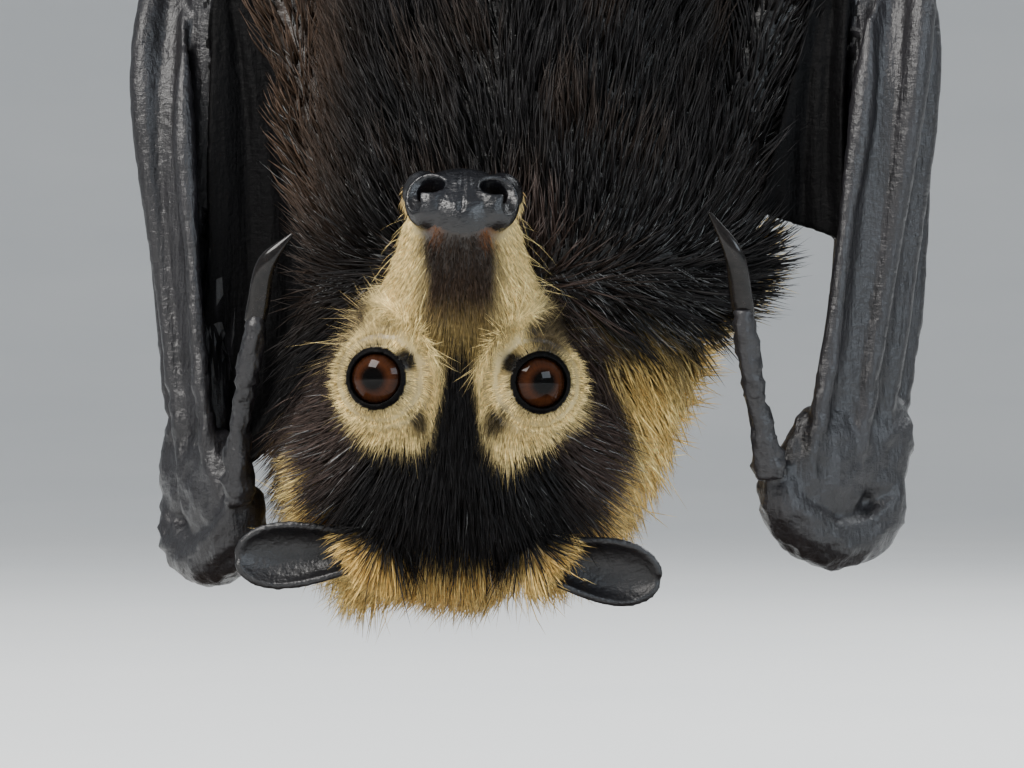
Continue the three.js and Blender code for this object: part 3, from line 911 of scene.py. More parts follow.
def math_node(nodes, links, operation, a, b=0.0):
    node = nodes.new("ShaderNodeMath")
    node.operation = operation
    for socket, value in enumerate((a, b)):
        if hasattr(value, "links"):
            links.new(value, node.inputs[socket])
        else:
            node.inputs[socket].default_value = value
    return node.outputs[0]


print("a dark brown as linear light:", linear((62, 46, 35)).round(3))

# %% [markdown]
# ## Perch
# The bat hangs from a cut length of branch with rough bark and the stub of a twig. Bark could be
# bump alone, but then the outline would be as smooth as a pipe's. So the ridges are pressed into
# the surface, and only the fine grain is bump.

# %% Perch


def perch_part():
    """The branch as a loft along X, with bark ridges that are pressed in by noise."""
    count, around = 300, 84
    x = np.linspace(-PERCH["length"] / 2, PERCH["length"] / 2, count)
    share = (x + PERCH["length"] / 2) / PERCH["length"]
    radius = PERCH["radius"] * (1 + (PERCH["taper"] - 1) * share)
    edge = np.minimum(x - x[0], x[-1] - x)
    radius = radius - 0.7 * np.clip(1 - edge / 0.9, 0, 1) ** 2
    angle = np.linspace(0, 2 * math.pi, around, endpoint=False)
    ring = np.zeros((count, around, 3))
    ring[:, :, 0] = x[:, None]
    ring[:, :, 1] = radius[:, None] * np.cos(angle)
    ring[:, :, 2] = PERCH["height"] + radius[:, None] * np.sin(angle)
    points = ring.reshape(-1, 3)
    stretched = points * [0.35, 1, 1]
    ridges = 1 - np.abs(wave(stretched, 5.2, 11))
    plates = 1 - np.abs(wave(points * [0.7, 1, 1], 9.0, 12))
    depth = 0.55 * ridges**3 + 0.35 * plates**4 + 0.12 * wave(points, 1.6, 13)
    inside = np.repeat(np.clip(edge / 1.5, 0, 1), around)
    centre = np.column_stack([points[:, 0], np.zeros(len(points)), np.full(len(points), PERCH["height"])])
    points = points - unit(points - centre) * ((depth + 0.15) * inside)[:, None]
    ring = points.reshape(count, around, 3)
    caps = []
    for end in (0, count - 1):
        shares = (0.97, 0.8, 0.55, 0.3, 0.1)
        middle = ring[end].mean(0)
        caps.append([middle + (ring[end] - middle) * s for s in shares])
    ring = np.concatenate([np.array(caps[0][::-1]), ring, np.array(caps[1])])
    return loft(ring)


perch_verts, perch_tris = perch_part()
twig = limb([[64, 0, 386], [70, -6, 394], [75, -11, 401]], [3.6, 3.3, 3.0], 30, 22, blunt=14)
perch = mesh_object("perch_branch", perch_verts, perch_tris)
twig_object = mesh_object("perch_twig", *twig)
material, nodes, links, shader = new_material("bark")
vector = place_input(nodes, links, (0.3, 1, 1))
coarse = noise(nodes, links, vector, 260, 6, 0.62)
fine = noise(nodes, links, vector, 1500, 4, 0.6)
shade = ramp(nodes, links, coarse, [(0.3, (44, 34, 28)), (0.5, (82, 68, 56)), (0.68, (120, 106, 90))])
lichen = noise(nodes, links, place_input(nodes, links), 60, 3)
lichen_mask = ramp(nodes, links, lichen, [(0.6, (0, 0, 0)), (0.7, (150, 150, 150))])
shade = mix(nodes, links, lichen_mask, shade, paint((140, 146, 122)))
links.new(shade, shader.inputs["Base Color"])
shader.inputs["Roughness"].default_value = 0.86
links.new(
    bump(nodes, links, fine, 0.0003, 0.6, bump(nodes, links, coarse, 0.0008, 0.7)), shader.inputs["Normal"]
)
for obj in (perch, twig_object):
    obj.data.materials.append(material)
print("perch triangles:", len(perch_tris) + len(twig[1]))

# %% [markdown]
# ## Display stand
# The base is a dark-stained board with a small round on its edges, and two brushed steel rods rise
# from it. The rods stand outside the wings, so that nothing crosses the animal. A cube with a Bevel
# modifier would make the board too. The loft is as short, and it is the tool that's at hand.

# %% Stand
wood, nodes, links, shader = new_material("stand_wood")
vector = place_input(nodes, links, (1, 9, 9))
grain = noise(nodes, links, vector, 22, 8, 0.6)
pores = noise(nodes, links, place_input(nodes, links, (1, 30, 30)), 90, 3, 0.5)
shade = ramp(nodes, links, grain, [(0.32, (46, 34, 26)), (0.5, (62, 46, 35)), (0.66, (76, 58, 44))])
pore_shade = mix(nodes, links, pores, paint((34, 25, 19)), paint((80, 62, 47)))
links.new(mix(nodes, links, 0.25, shade, pore_shade), shader.inputs["Base Color"])
shader.inputs["Roughness"].default_value = 0.42
shader.inputs["Coat Weight"].default_value = 0.25
shader.inputs["Coat Roughness"].default_value = 0.2
links.new(bump(nodes, links, pores, 0.0002, 0.35), shader.inputs["Normal"])
steel, nodes, links, shader = new_material("stand_steel")
brushed = noise(nodes, links, place_input(nodes, links, (1, 1, 0.02)), 1800, 2)
shade = ramp(nodes, links, brushed, [(0.3, (150, 152, 156)), (0.7, (166, 168, 172))])
links.new(shade, shader.inputs["Base Color"])
shader.inputs["Metallic"].default_value = 1.0
shader.inputs["Roughness"].default_value = 0.34
links.new(bump(nodes, links, brushed, 0.000004, 0.1), shader.inputs["Normal"])


def lathe(profile, x, around=64):
    """A body of revolution about an upright axis at x, from (radius, height) pairs."""
    angle = np.linspace(0, 2 * math.pi, around, endpoint=False)[None, :]
    r = np.array([p[0] for p in profile], float)[:, None]
    z = np.array([p[1] for p in profile], float)[:, None]
    return loft(np.stack(np.broadcast_arrays(x + r * np.cos(angle), r * np.sin(angle), z), -1))


STAND = {"width": 250, "depth": 170, "thickness": 12, "rod": 4, "spread": 108}
top = STAND["thickness"] + 0.3
underside = PERCH["height"] - PERCH["radius"] * 0.9
profile = [(9.6, top), (9.6, top + 2.2), (9.1, top + 2.8), (4.9, top + 3.3), (4.2, top + 4.2), (4, top + 6)]
profile += [(4, underside - 2.4), (4, underside)]
for name, side in SIDES.items():
    rod = mesh_object(f"stand_rod_{name}_round", *lathe(profile, side * STAND["spread"]))
    rod.data.materials.append(steel)
    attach(rod, "root")
    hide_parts(f"stand_rod_{name}")


def board():
    """The wooden base: a rounded board whose top and bottom edges are eased."""
    corner, ease = 12.0, 2.0
    half = np.array([STAND["width"] / 2, STAND["depth"] / 2])
    angle = np.linspace(0, 2 * math.pi, 160, endpoint=False)
    way = np.column_stack([np.cos(angle), np.sin(angle)])
    sign = np.sign(way)
    rings = []
    turns = np.linspace(0, math.pi / 2, 7)
    levels = [(ease * (1 - math.sin(t)), ease * (1 - math.cos(t))) for t in turns]
    levels = levels + [(i, STAND["thickness"] - z) for i, z in levels[::-1]]
    levels = [(20, 0)] + levels + [(20, STAND["thickness"]), (50, STAND["thickness"])]
    for inset, z in levels:
        r = max(corner - inset, 0.5)
        flat = (half - inset - r) * sign + r * way
        rings.append(np.column_stack([flat, np.full(len(flat), z)]))
    return loft(np.array(rings))


base = mesh_object("stand_board", *board())
base.data.materials.append(wood)
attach(base, "root")
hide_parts("stand_base")
for piece in (perch, twig_object):
    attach(piece, "root")
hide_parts("perch")
print("stand made")

# %% [markdown]
# ## Eyes
# Each eye is a ball with a low bulge for the cornea. Its pattern runs round the line of sight: a
# round black pupil, an amber-brown iris with fine spokes, a dark rim, and a clear wet coat. A clear
# second shell over the iris could hold the shine. At this size one ball with a coat looks the same.

# %% Eyes


def eye_part(name):
    """The eyeball with its cornea, each point's angle from the gaze, and its angle round it."""
    lat = np.concatenate([np.linspace(0.004, 1.15, 60), np.linspace(1.2, math.pi - 0.03, 30)])[:, None]
    lon = np.linspace(0, 2 * math.pi, 96, endpoint=False)[None, :]
    radius = EYE_RADIUS * (1 + 0.035 * np.clip(1 - (lat / 0.8) ** 2, 0, 1) ** 1.2)
    verts, tris = loft(ball_ways(lat, lon) * radius[:, :, None])
    forward = GAZE[name]
    side_way = unit(np.cross([0, 0, 1.0], forward))
    turn_by = np.stack([side_way, np.cross(forward, side_way), forward], 1)
    angle = np.arccos(np.clip(verts[:, 2] / np.linalg.norm(verts, axis=1), -1, 1))
    around = np.arctan2(verts[:, 1], verts[:, 0])
    return from_head(verts @ turn_by.T + EYE[name]), tris, angle, around


def eye_material():
    material, nodes, links, shader = new_material("eye")
    angle = add_node(nodes, "ShaderNodeAttribute", attribute_name="from_gaze")
    spokes = add_node(nodes, "ShaderNodeAttribute", attribute_name="spokes")
    where = nodes.new("ShaderNodeCombineXYZ")
    links.new(spokes.outputs["Fac"], where.inputs[0])
    links.new(angle.outputs["Fac"], where.inputs[1])
    streak = noise(nodes, links, where.outputs[0], 2.2, 6, 0.7)
    stops = [
        (0.0, (3, 3, 4)),
        (0.25, (5, 4, 4)),
        (0.31, (28, 15, 9)),
        (0.46, (62, 35, 20)),
        (0.60, (52, 30, 18)),
        (0.73, (26, 14, 9)),
        (0.82, (7, 6, 6)),
    ]
    shade = ramp(nodes, links, angle.outputs["Fac"], stops)
    flecks = ramp(nodes, links, streak, [(0.3, (110, 90, 70)), (0.7, (255, 232, 190))])
    links.new(mix(nodes, links, 0.7, shade, flecks, "MULTIPLY"), shader.inputs["Base Color"])
    shader.inputs["Roughness"].default_value = 0.3
    shader.inputs["Coat Weight"].default_value = 1.0
    shader.inputs["Coat Roughness"].default_value = 0.03
    shader.inputs["Coat IOR"].default_value = 1.22
    shader.inputs["Specular IOR Level"].default_value = 0.0
    return material


def value_attribute(obj, name, values):
    layer = obj.data.attributes.new(name, "FLOAT", "POINT")
    layer.data.foreach_set("value", np.asarray(values, np.float32))


eye_look = eye_material()
for name in SIDES:
    verts, tris, angle, around = eye_part(name)
    eye = mesh_object(f"eye_{name}_ball", verts, tris)
    value_attribute(eye, "from_gaze", angle)
    value_attribute(eye, "spokes", np.abs(around) * 6)
    eye.data.materials.append(eye_look)
    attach(eye, "root")
    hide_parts(f"eye_{name}")
print("eyes made")

# %% [markdown]
# ## Claws
# They are curved, pointed and flattened from side to side, dark and polished, with a fine grain. A
# cone with a Simple Deform bend would make one. A limb with a falling radius makes all twelve, each
# along its own curve.

# %% Claws
horn, nodes, links, shader = new_material("horn")
grain = noise(nodes, links, place_input(nodes, links), 900, 4, 0.6)
links.new(ramp(nodes, links, grain, [(0.35, (9, 8, 8)), (0.65, (24, 21, 20))]), shader.inputs["Base Color"])
shader.inputs["Roughness"].default_value = 0.26
shader.inputs["Specular IOR Level"].default_value = 0.12
shader.inputs["Coat Weight"].default_value = 0.3
shader.inputs["Coat Roughness"].default_value = 0.06
links.new(bump(nodes, links, grain, 0.00012, 0.5), shader.inputs["Normal"])
TOE_CLAW_TURNS = (124, 152, 182, 206)
TOE_CLAW_LIFTS = (-0.1, 0.9, 0.9, -0.2)


def claw_piece(name, part, node):
    claw = mesh_object(name, *part)
    claw.data.materials.append(horn)
    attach(claw, "root")
    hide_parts(node)
    return claw


for name in SIDES:
    points = np.array(CLAWS[name], float)
    root = points[0] + (points[0] - points[1]) * 0.5
    points = np.vstack([root, points])
    part = limb(points, [1.9, 2.0, 1.7, 0.28], 60, 24, 0.62, blunt=12)
    claw_piece(f"claw_thumb_{name}", part, f"thumb_claw_{name}")
    for number in range(5):
        reach = toe_reach - 0.2
        points = [
            round_perch(number, degrees, reach + lift)
            for degrees, lift in zip(TOE_CLAW_TURNS, TOE_CLAW_LIFTS)
        ]
        part = limb(placed(points, name, False), [1.15, 1.15, 0.75, 0.22], 36, 16, 0.7, blunt=12)
        claw_piece(f"claw_toe_{number + 1}_{name}", part, f"toe_claw_{number + 1}_{name}")
print("claws made")

# %% [markdown]
# ## Studio
# A plain pale floor under the stand bends up into a plain backdrop all round, so no horizon shows
# from any side. Large lamps give soft shadows. Small ones would draw every lock sharply, and the
# coat would look like wire.

# %% Studio


def studio_sweep():
    """The floor as a wide flat disc whose far rim bends up into a plain wall all round."""
    flat, bend, height = 2.4, 5.6, 7.0
    turns = np.linspace(0, math.pi / 2, 18)
    line = [(0.001, 0.0), (2.0, 0.0)] + [(flat + bend * math.sin(t), bend * (1 - math.cos(t))) for t in turns]
    line.append((flat + bend, height))
    angle = np.linspace(0, 2 * math.pi, 96, endpoint=False)
    cells = [[(r * math.cos(t), r * math.sin(t), z) for t in angle] for r, z in line]
    return np.array(cells).reshape(-1, 3) / MM, grid_faces(len(line), 96)


sweep = mesh_object("studio_sweep", *studio_sweep())
pale, nodes, links, shader = new_material("pale_paper")
mottle = noise(nodes, links, place_input(nodes, links), 3, 3)
shade = ramp(nodes, links, mottle, [(0.3, (232, 233, 232)), (0.7, (238, 238, 236))])
links.new(shade, shader.inputs["Base Color"])
shader.inputs["Roughness"].default_value = 0.9
sweep.data.materials.append(pale)


def lamp(name, place, aim, size, power, color):
    data = bpy.data.lights.new(name, "AREA")
    data.shape = "RECTANGLE"
    data.size, data.size_y = size
    data.energy = power
    data.color = color
    light = bpy.data.objects.new(name, data)
    light.location = place
    way = Vector(aim) - Vector(place)
    light.rotation_euler = way.to_track_quat("-Z", "Y").to_euler()
    bpy.context.scene.collection.objects.link(light)
    return light


face = tuple(AIM * MM)
lamp("key", (-0.6, -0.95, 1.3), face, (0.8, 0.7), 42, (1.0, 0.97, 0.93))
lamp("fill", (1.3, -0.85, 0.75), face, (0.9, 0.6), 16, (0.8, 0.9, 1.0))
lamp("back", (0.6, 0.95, 1.2), (0, 0, 0.2), (0.9, 0.9), 26, (0.95, 0.98, 1.0))
low_lamp = lamp("low", (-0.2, -0.9, 0.2), face, (0.8, 0.3), 2.5, (1.0, 0.98, 0.95))
low_lamp.visible_glossy = False
world = bpy.data.worlds.new("soft")
world.use_nodes = True
world.node_tree.nodes["Background"].inputs["Color"].default_value = (0.82, 0.87, 0.94, 1)
world.node_tree.nodes["Background"].inputs["Strength"].default_value = 0.6
bpy.context.scene.world = world
print("studio made")

# %% [markdown]
# ## Markings
# Skin and coat share these markings. They are worked out on the head's own frame: pale rings round
# the eyes with a dark spot in each inner corner, a dark stripe that widens into a black cap, pale
# muzzle sides, dark cheeks, and a golden mantle behind them. The body is black, with a brown painted
# highlight on its left flank.
# They could be painted on the mesh by hand, but each new mesh would have to be painted again.

# %% Markings
CREAM = linear((250, 224, 156))
TAN = linear((166, 142, 84))
GOLD = linear((229, 189, 108))
PALE_GOLD = linear((249, 224, 152))
BLACK = linear((15, 13, 14))
CHEEK = linear((62, 50, 45))
BROWN = linear((84, 64, 48))
ORANGE = linear((152, 92, 42))
SLATE = linear((28, 27, 30))
NOSE = linear((17, 18, 22))
SILVER = linear((196, 198, 198))


def blend_in(base, color, weight):
    return base + (color - base) * np.clip(weight, 0, 1)[:, None]


def body_fur(points, ragged):
    """Black, with a brown painted highlight on the left flank, gold over the nape and the shoulders; and that
    gold alone.
    """
    color = np.tile(BLACK, (len(points), 1))
    # Painted highlight: the left flank, on the side the key lamp lights, is blended towards brown.
    flank = step_between(-18, -40, points[:, 0]) * step_between(112, 130, points[:, 2])
    color = blend_in(color, BROWN * 0.62, flank * step_between(230, 160, points[:, 2]) * 0.75)
    mottled = step_between(0.1, 1.0, wave(points, 14, 23))
    color = blend_in(color, BROWN * 0.6, mottled * 0.25)
    limit = 97 + 14 * step_between(-25, 5, points[:, 0]) + 46 * step_between(9, 22, points[:, 1])
    limit = limit + ragged * 2.4
    mantle = step_between(limit + 7, limit - 5, points[:, 2])
    gold = blend_in(np.tile(GOLD, (len(points), 1)), PALE_GOLD, 0.5 + 0.5 * wave(points, 11, 24))
    gold = blend_in(gold, TAN, step_between(0.1, 0.9, wave(points, 7, 25)) * 0.4)
    return blend_in(color, gold, mantle), gold


def muzzle_fur(q, face_up, ragged):
    """Dark cheeks and jaw, pale muzzle sides, a dark bridge and an olive blend between the eyes."""
    x, y, z = q.T
    lateral = np.abs(x)
    color_face = np.tile(BLACK, (len(q), 1))
    cheek = step_between(13, 19, lateral + ragged * 0.7) * step_between(-22, -10, face_up)
    color_face = blend_in(color_face, CHEEK, cheek)
    jaw = step_between(-8, -14, z) * step_between(30, 16, y)
    color_face = blend_in(color_face, CHEEK * 0.85, jaw)
    forward = step_between(8.5, 13.5, face_up + ragged * 0.4)
    pale_side = forward * step_between(15.5, 11.5, lateral + 0.12 * (face_up - 10) + ragged * 0.4)
    pale_side = pale_side * step_between(-17.5, -13.5, z)
    color_face = blend_in(color_face, CREAM, pale_side)
    bridge_half = 5.2 + 1.0 * step_between(12, 26, face_up)
    bridge = step_between(bridge_half + 2.0, bridge_half - 1.2, lateral + ragged * 0.35)
    bridge = bridge * step_between(8, 13, face_up + 0.25 * x)
    bridge_color = BROWN * (0.6 - 0.34 * step_between(13, 23, face_up))[:, None]
    color_face = color_face + (bridge_color - color_face) * bridge[:, None]
    between = step_between(17, 10, face_up) * step_between(4.5, 8.5, face_up) * step_between(9.5, 6, lateral)
    return blend_in(color_face, TAN, between * 0.6)


def eye_fur(color_face, q, face_up, ragged):
    """Pale rings with a black rim, dark inner spots, the stripe between them and the nose's tint."""
    x, y, _ = q.T
    lateral = np.abs(x)
    for name, side in SIDES.items():
        centre = EYE[name]
        away = across_gaze(q - (centre + np.array([-side * 1.3, -0.6, 0.4])), name)
        reach = np.linalg.norm(away, axis=1)
        near = np.linalg.norm(q - centre, axis=1) < 20
        outer = 11.7 + ragged * 0.7 + 0.7 * (away[:, 0] * side < 0) - 2.6 * step_between(1, 8, away[:, 2])
        outer = outer - 1.6 * step_between(1, 8, away[:, 0] * side)
        ring = step_between(outer + 0.9, outer - 0.9, reach) * near
        color_face = blend_in(color_face, CREAM, ring)
        patch = step_between(5.4, 2.6, np.linalg.norm(away - [side * 3.4, 6.6, -6.0], axis=1)) * near
        color_face = blend_in(color_face, BROWN * 0.5, patch * (0.9 if side > 0 else 0.4))
        spot_place = np.column_stack([x - side * 6.9, face_up + 5.6])
        spot = step_between(2.9, 0.9, np.linalg.norm(spot_place, axis=1) + 0.3 * ragged) * near
        color_face = blend_in(color_face, BROWN * 0.2, spot * 0.92)
        rim_away = across_gaze(q - centre, name)
        rim = step_between(5.6, 5.1, np.linalg.norm(rim_away, axis=1)) * near
        corner_place = np.column_stack([x - side * 9.2, face_up - 3.7])
        rim = np.maximum(rim, step_between(2.7, 1.2, np.linalg.norm(corner_place, axis=1)) * near)
        color_face = blend_in(color_face, BLACK, rim)
    half = np.interp(face_up, [-12, -6, 0, 4, 8.5], [7.0, 4.4, 3.0, 2.4, 1.0]) + ragged * 0.3
    stripe = step_between(half + 0.8, half - 0.8, lateral) * step_between(9, 6.5, face_up)
    color_face = blend_in(color_face, BLACK, stripe)
    tip = step_between(29.5, 33, y + ragged * 0.5) * step_between(2, 5, lateral)
    return blend_in(color_face, ORANGE, tip * 0.45)


def furred_color(points):
    """The coat's colour at each place, in linear light."""
    q = to_head(points)
    x, y, z = q.T
    face_up = 0.743 * y - 0.669 * z
    ragged = wave(points, 9, 21) * 1.0 + wave(points, 3.2, 22) * 0.6
    lateral = np.abs(x)
    color, gold = body_fur(points, ragged)
    skull = np.interp(y, HEAD_STATIONS[::-1, 0], HEAD_STATIONS[::-1, 1])
    on_face = step_between(-28, -24.5, z) * step_between(-46, -42, y) * step_between(6, 2.5, lateral - skull)
    cap_tall = 25 + 4.5 * step_between(5, 9, lateral) * step_between(19, 16, lateral)
    cap_reach = (lateral / 24.0) ** 3.2 + (np.maximum(-face_up, 0) / cap_tall) ** 3.2
    in_cap = step_between(1.14, 0.88, cap_reach + 0.07 * ragged)
    color_face = eye_fur(muzzle_fur(q, face_up, ragged), q, face_up, ragged)
    head_color = blend_in(gold, color_face, np.maximum(in_cap, step_between(-9, -3, face_up + ragged)))
    return blend_in(color, head_color, on_face)


print("coat colour at the left eye:", furred_color(from_head(EYE["left"][None])).round(3))

# %% [markdown]
# ## Regions of the skin
# Each place on the skin takes the name of the nearest ingredient. That tells bare skin from furred
# skin without painting masks by hand, and it still works after the mesh has been remade.

# %% Regions of the skin


def pad_edge(q):
    """How far back the bare nose reaches, further at its sides."""
    return 33.0 - 2.6 * step_between(4.0, 7.5, np.abs(q[:, 0])) + 3.0 * step_between(-13, -16, q[:, 2])


def region_labels(points):
    """The name of the nearest body part at each place."""
    names = sorted({label for _, _, label in ingredients})
    spread, owner = [], []
    for verts, _, label in ingredients:
        some = verts[:: max(1, len(verts) // 2600)]
        spread.append(some)
        owner += [names.index(label)] * len(some)
    tree = kdtree.KDTree(len(owner))
    for i, place in enumerate(np.concatenate(spread)):
        tree.insert(place, i)
    tree.balance()
    found = np.array([owner[tree.find(place)[1]] for place in points])
    return {label: found == i for i, label in enumerate(names)}


skin_verts = coordinates(skin)
skin_tris = triangles(skin)
labels = region_labels(skin_verts)
print("skin regions:", {label: int(mask.sum()) for label, mask in labels.items()})

# %% [markdown]
# ## Folds and colours of the skin
# Hands and feet get shallow folds that move the surface itself, because a bump alone would vanish
# at their edges. Then every place gets its colour: slate on the wings, black on the nose and round
# the eyes, and where hair will cover the skin, the coat's colour darkened as painted shade.

# %% Folds and colours of the skin
# Painted shade: skin under the coat takes the coat's colour darkened, as if the hair shaded it.
PAINTED_COAT_SHADE = 0.55
RIM_REACH = 5.4
normal_data = np.empty(len(skin.data.vertices) * 3, np.float32)
skin.data.vertex_normals.foreach_get("vector", normal_data)
skin_normals = normal_data.reshape(-1, 3).astype(float)
hand = labels["wing"] | labels["thumb"] | labels["foot"]
at_wrist = np.where(hand, step_between(118, 92, skin_verts[:, 2]) + 0.35, 0)
folds = wave(skin_verts * [1, 1, 1.7], 4.2, 41) * 0.22 - np.abs(wave(skin_verts * [1, 1, 1.5], 6.5, 42)) * 0.3
ring_folds = np.sin(skin_verts[:, 2] * 2.6 + wave(skin_verts, 7, 43) * 1.4) * 0.24 * labels["thumb"]
skin_verts = skin_verts + skin_normals * (folds * at_wrist + ring_folds)[:, None]
set_coordinates(skin, skin_verts)
skin_color = furred_color(skin_verts) * PAINTED_COAT_SHADE
skin_color[hand] = SLATE
# The ears are dark skin, made darker still than the wings as painted shade of their hollows.
skin_color[labels["ear"]] = SLATE * 0.6
# Painted shade: the inner wing skin is painted nearly black for the shade it hangs in by the body.
skin_color[labels["membrane"]] = SLATE * 0.16
nose_place = to_head(skin_verts)
nose_pad = (nose_place[:, 1] > pad_edge(nose_place)) & (nose_place[:, 2] > -15) & (nose_place[:, 1] < 45)
nose_pad = nose_pad & (labels["head"] | labels["nose"])
nose_tip = step_between(33, 36, nose_place[nose_pad, 1])
skin_color[nose_pad] = blend_in(np.tile(BLACK, (nose_pad.sum(), 1)), NOSE, nose_tip)
# Painted shade: the lids under the eye rings take the coat's colour at half strength.
skin_color[labels["lid"]] = furred_color(skin_verts[labels["lid"]]) * 0.5
rim_mask = np.zeros(len(skin_verts), bool)
for name in SIDES:
    from_eye = to_head(skin_verts) - EYE[name]
    reach = np.linalg.norm(across_gaze(from_eye, name), axis=1)
    rim = (reach < RIM_REACH) & (np.linalg.norm(from_eye, axis=1) < 9)
    skin_color[rim] = BLACK * 0.3
    rim_mask |= rim
layer = skin.data.attributes.new("marking", "FLOAT_COLOR", "POINT")
with_alpha = np.column_stack([skin_color, np.ones(len(skin_color))])
layer.data.foreach_set("color", with_alpha.astype(np.float32).ravel())
value_attribute(skin, "wet", nose_pad.astype(float))
dull_skin = labels["membrane"] | rim_mask
value_attribute(skin, "on_wing", (labels["wing"] | labels["membrane"]).astype(float))
print("nose pad and lid rim vertices:", int(nose_pad.sum()), int(rim_mask.sum()))

# %% [markdown]
# ## How the coat is made
# Roots are scattered over the skin's triangles by area. Each lock is a thin closed blade with a
# three-sided section that tapers to its tip. It starts out at one slant and ends at another, and
# neighbours are drawn together at their tips, as hair clumps.

# %% Coat tools
corner = skin_verts[skin_tris]
face_area = np.linalg.norm(np.cross(corner[:, 1] - corner[:, 0], corner[:, 2] - corner[:, 0]), axis=1) / 2
face_middle = corner.mean(1)
face_label = {label: mask[skin_tris[:, 0]] for label, mask in labels.items()}
DENSITY = 1.0


def scatter(per_mm2, seed):
    """Roots over the skin, about per_mm2 of them on each square millimetre."""
    turn = np.random.default_rng(seed)
    expected = face_area * per_mm2 * DENSITY
    count = np.floor(expected + turn.random(len(expected))).astype(int)
    chosen = np.repeat(np.arange(len(count)), count)
    turn.shuffle(chosen)
    a, b = turn.random(len(chosen)), turn.random(len(chosen))
    flip = a + b > 1
    a[flip], b[flip] = 1 - a[flip], 1 - b[flip]
    weights = np.stack([1 - a - b, a, b], 1)[:, :, None]
    tri = skin_tris[chosen]
    return (skin_verts[tri] * weights).sum(1), unit((skin_normals[tri] * weights).sum(1)), chosen


def unwrap(points):
    """The skin's own unwrap: the head by angle and length, the rest by angle and height."""
    q = to_head(points)
    head_like = np.abs(q[:, 1]) < 60
    around_head = np.arctan2(q[:, 0], q[:, 2] + 4) / (2 * math.pi) + 0.5
    along_head = (q[:, 1] + 62) / 124
    around_body = np.arctan2(points[:, 0], points[:, 1] - 10) / (2 * math.pi) + 0.5
    along_body = (points[:, 2] - 50) / 330
    near_head = head_like & (points[:, 2] < 138) & (q[:, 1] > -45)
    u = np.where(near_head, around_head * 0.48 + 0.01, around_body * 0.48 + 0.51)
    v = np.where(near_head, along_head, along_body) * 0.97 + 0.01
    return np.column_stack([u, v])


def clump(roots, ends, amount, size, seed):
    """Draw the ends of neighbouring locks together."""
    turn = np.random.default_rng(seed)
    count = max(8, int(len(roots) / size))
    picked = turn.choice(len(roots), count, replace=False)
    tree = kdtree.KDTree(count)
    for i, place in enumerate(roots[picked]):
        tree.insert(place, i)
    tree.balance()
    nearest = picked[np.array([tree.find(place)[1] for place in roots])]
    return ends + (ends[nearest] - ends) * (amount * turn.uniform(0.5, 1.0, len(roots)))[:, None], nearest


def coat_piece(name, roots, start, finish, length, width, color, tip_color, segments=3, thick=0.42):
    """Build one joined mesh of locks from their roots, slants, lengths, widths and colours."""
    count = len(roots)
    side = unit(np.cross(start, finish) + 1e-3 * np.cross(start, [0.3, 0.5, 0.8]))
    turn = np.random.default_rng(len(name) * 97 + count)
    spin = turn.uniform(-0.9, 0.9, count)[:, None]
    up_way = unit(np.cross(side, start))
    side = unit(side * np.cos(spin) + up_way * np.sin(spin))
    shares = np.linspace(0, 1, segments + 1)
    taper = np.array([0.8, 1.0, 0.66]) if segments == 3 else np.linspace(1.0, 0.5, segments)
    rings = []
    for i in range(segments):
        s = shares[i]
        centre = roots + length[:, None] * (start * (s - s * s / 2) + finish * (s * s / 2))
        way = unit(start * (1 - s) + finish * s)
        over = unit(np.cross(side, way))
        half = (width * taper[i] / 2)[:, None]
        rings += [centre - side * half, centre + side * half, centre + over * half * 2 * thick]
    rings.append(roots + length[:, None] * (start / 2 + finish / 2))
    verts = np.stack(rings, 1)
    faces = []
    for i in range(segments - 1):
        for a, b in ((0, 1), (1, 2), (2, 0)):
            faces += [[3 * i + a, 3 * i + b, 3 * i + 3 + b], [3 * i + a, 3 * i + 3 + b, 3 * i + 3 + a]]
    last, tip = 3 * (segments - 1), 3 * segments
    faces += [[last + a, last + b, tip] for a, b in ((0, 1), (1, 2), (2, 0))]
    faces.append([2, 1, 0])
    faces = np.array(faces)
    per = verts.shape[1]
    tris = (faces[None] + (np.arange(count) * per)[:, None, None]).reshape(-1, 3)
    piece = mesh_object(name, verts.reshape(-1, 3), tris)
    along = np.repeat(np.append(shares[:segments], 1.0), [3] * segments + [1])
    blend = np.clip((along - 0.15) / 0.85, 0, 1)[None, :, None]
    shade = color[:, None] * (1 - blend) + tip_color[:, None] * blend
    # Painted shade: each lock is darker near its root, down to 0.74, where the coat round it shades it.
    shade = shade * (0.74 + 0.26 * np.clip(along * 2.2, 0, 1))[None, :, None]
    shade = np.concatenate([shade, np.ones((count, per, 1))], 2)
    layer = piece.data.attributes.new("marking", "FLOAT_COLOR", "POINT")
    layer.data.foreach_set("color", shade.astype(np.float32).ravel())
    place = unwrap(roots)
    across = np.tile([0.0, 1.0, 0.5], segments + 1)[: per - 1]
    across = np.append(across, 0.5)
    patch = np.stack([across * 0.003, along * 0.003], 1)
    uv = (place[:, None] + patch[None]).reshape(-1, 2)
    loop_vertex = tris.ravel()
    layer = piece.data.uv_layers.new(name="OFBake")
    layer.data.foreach_set("uv", uv[loop_vertex].astype(np.float32).ravel())
    layer.active = True
    piece.data.materials.append(hair_look)
    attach(piece, "root")
    coat_counts[name] = len(tris)
    return piece


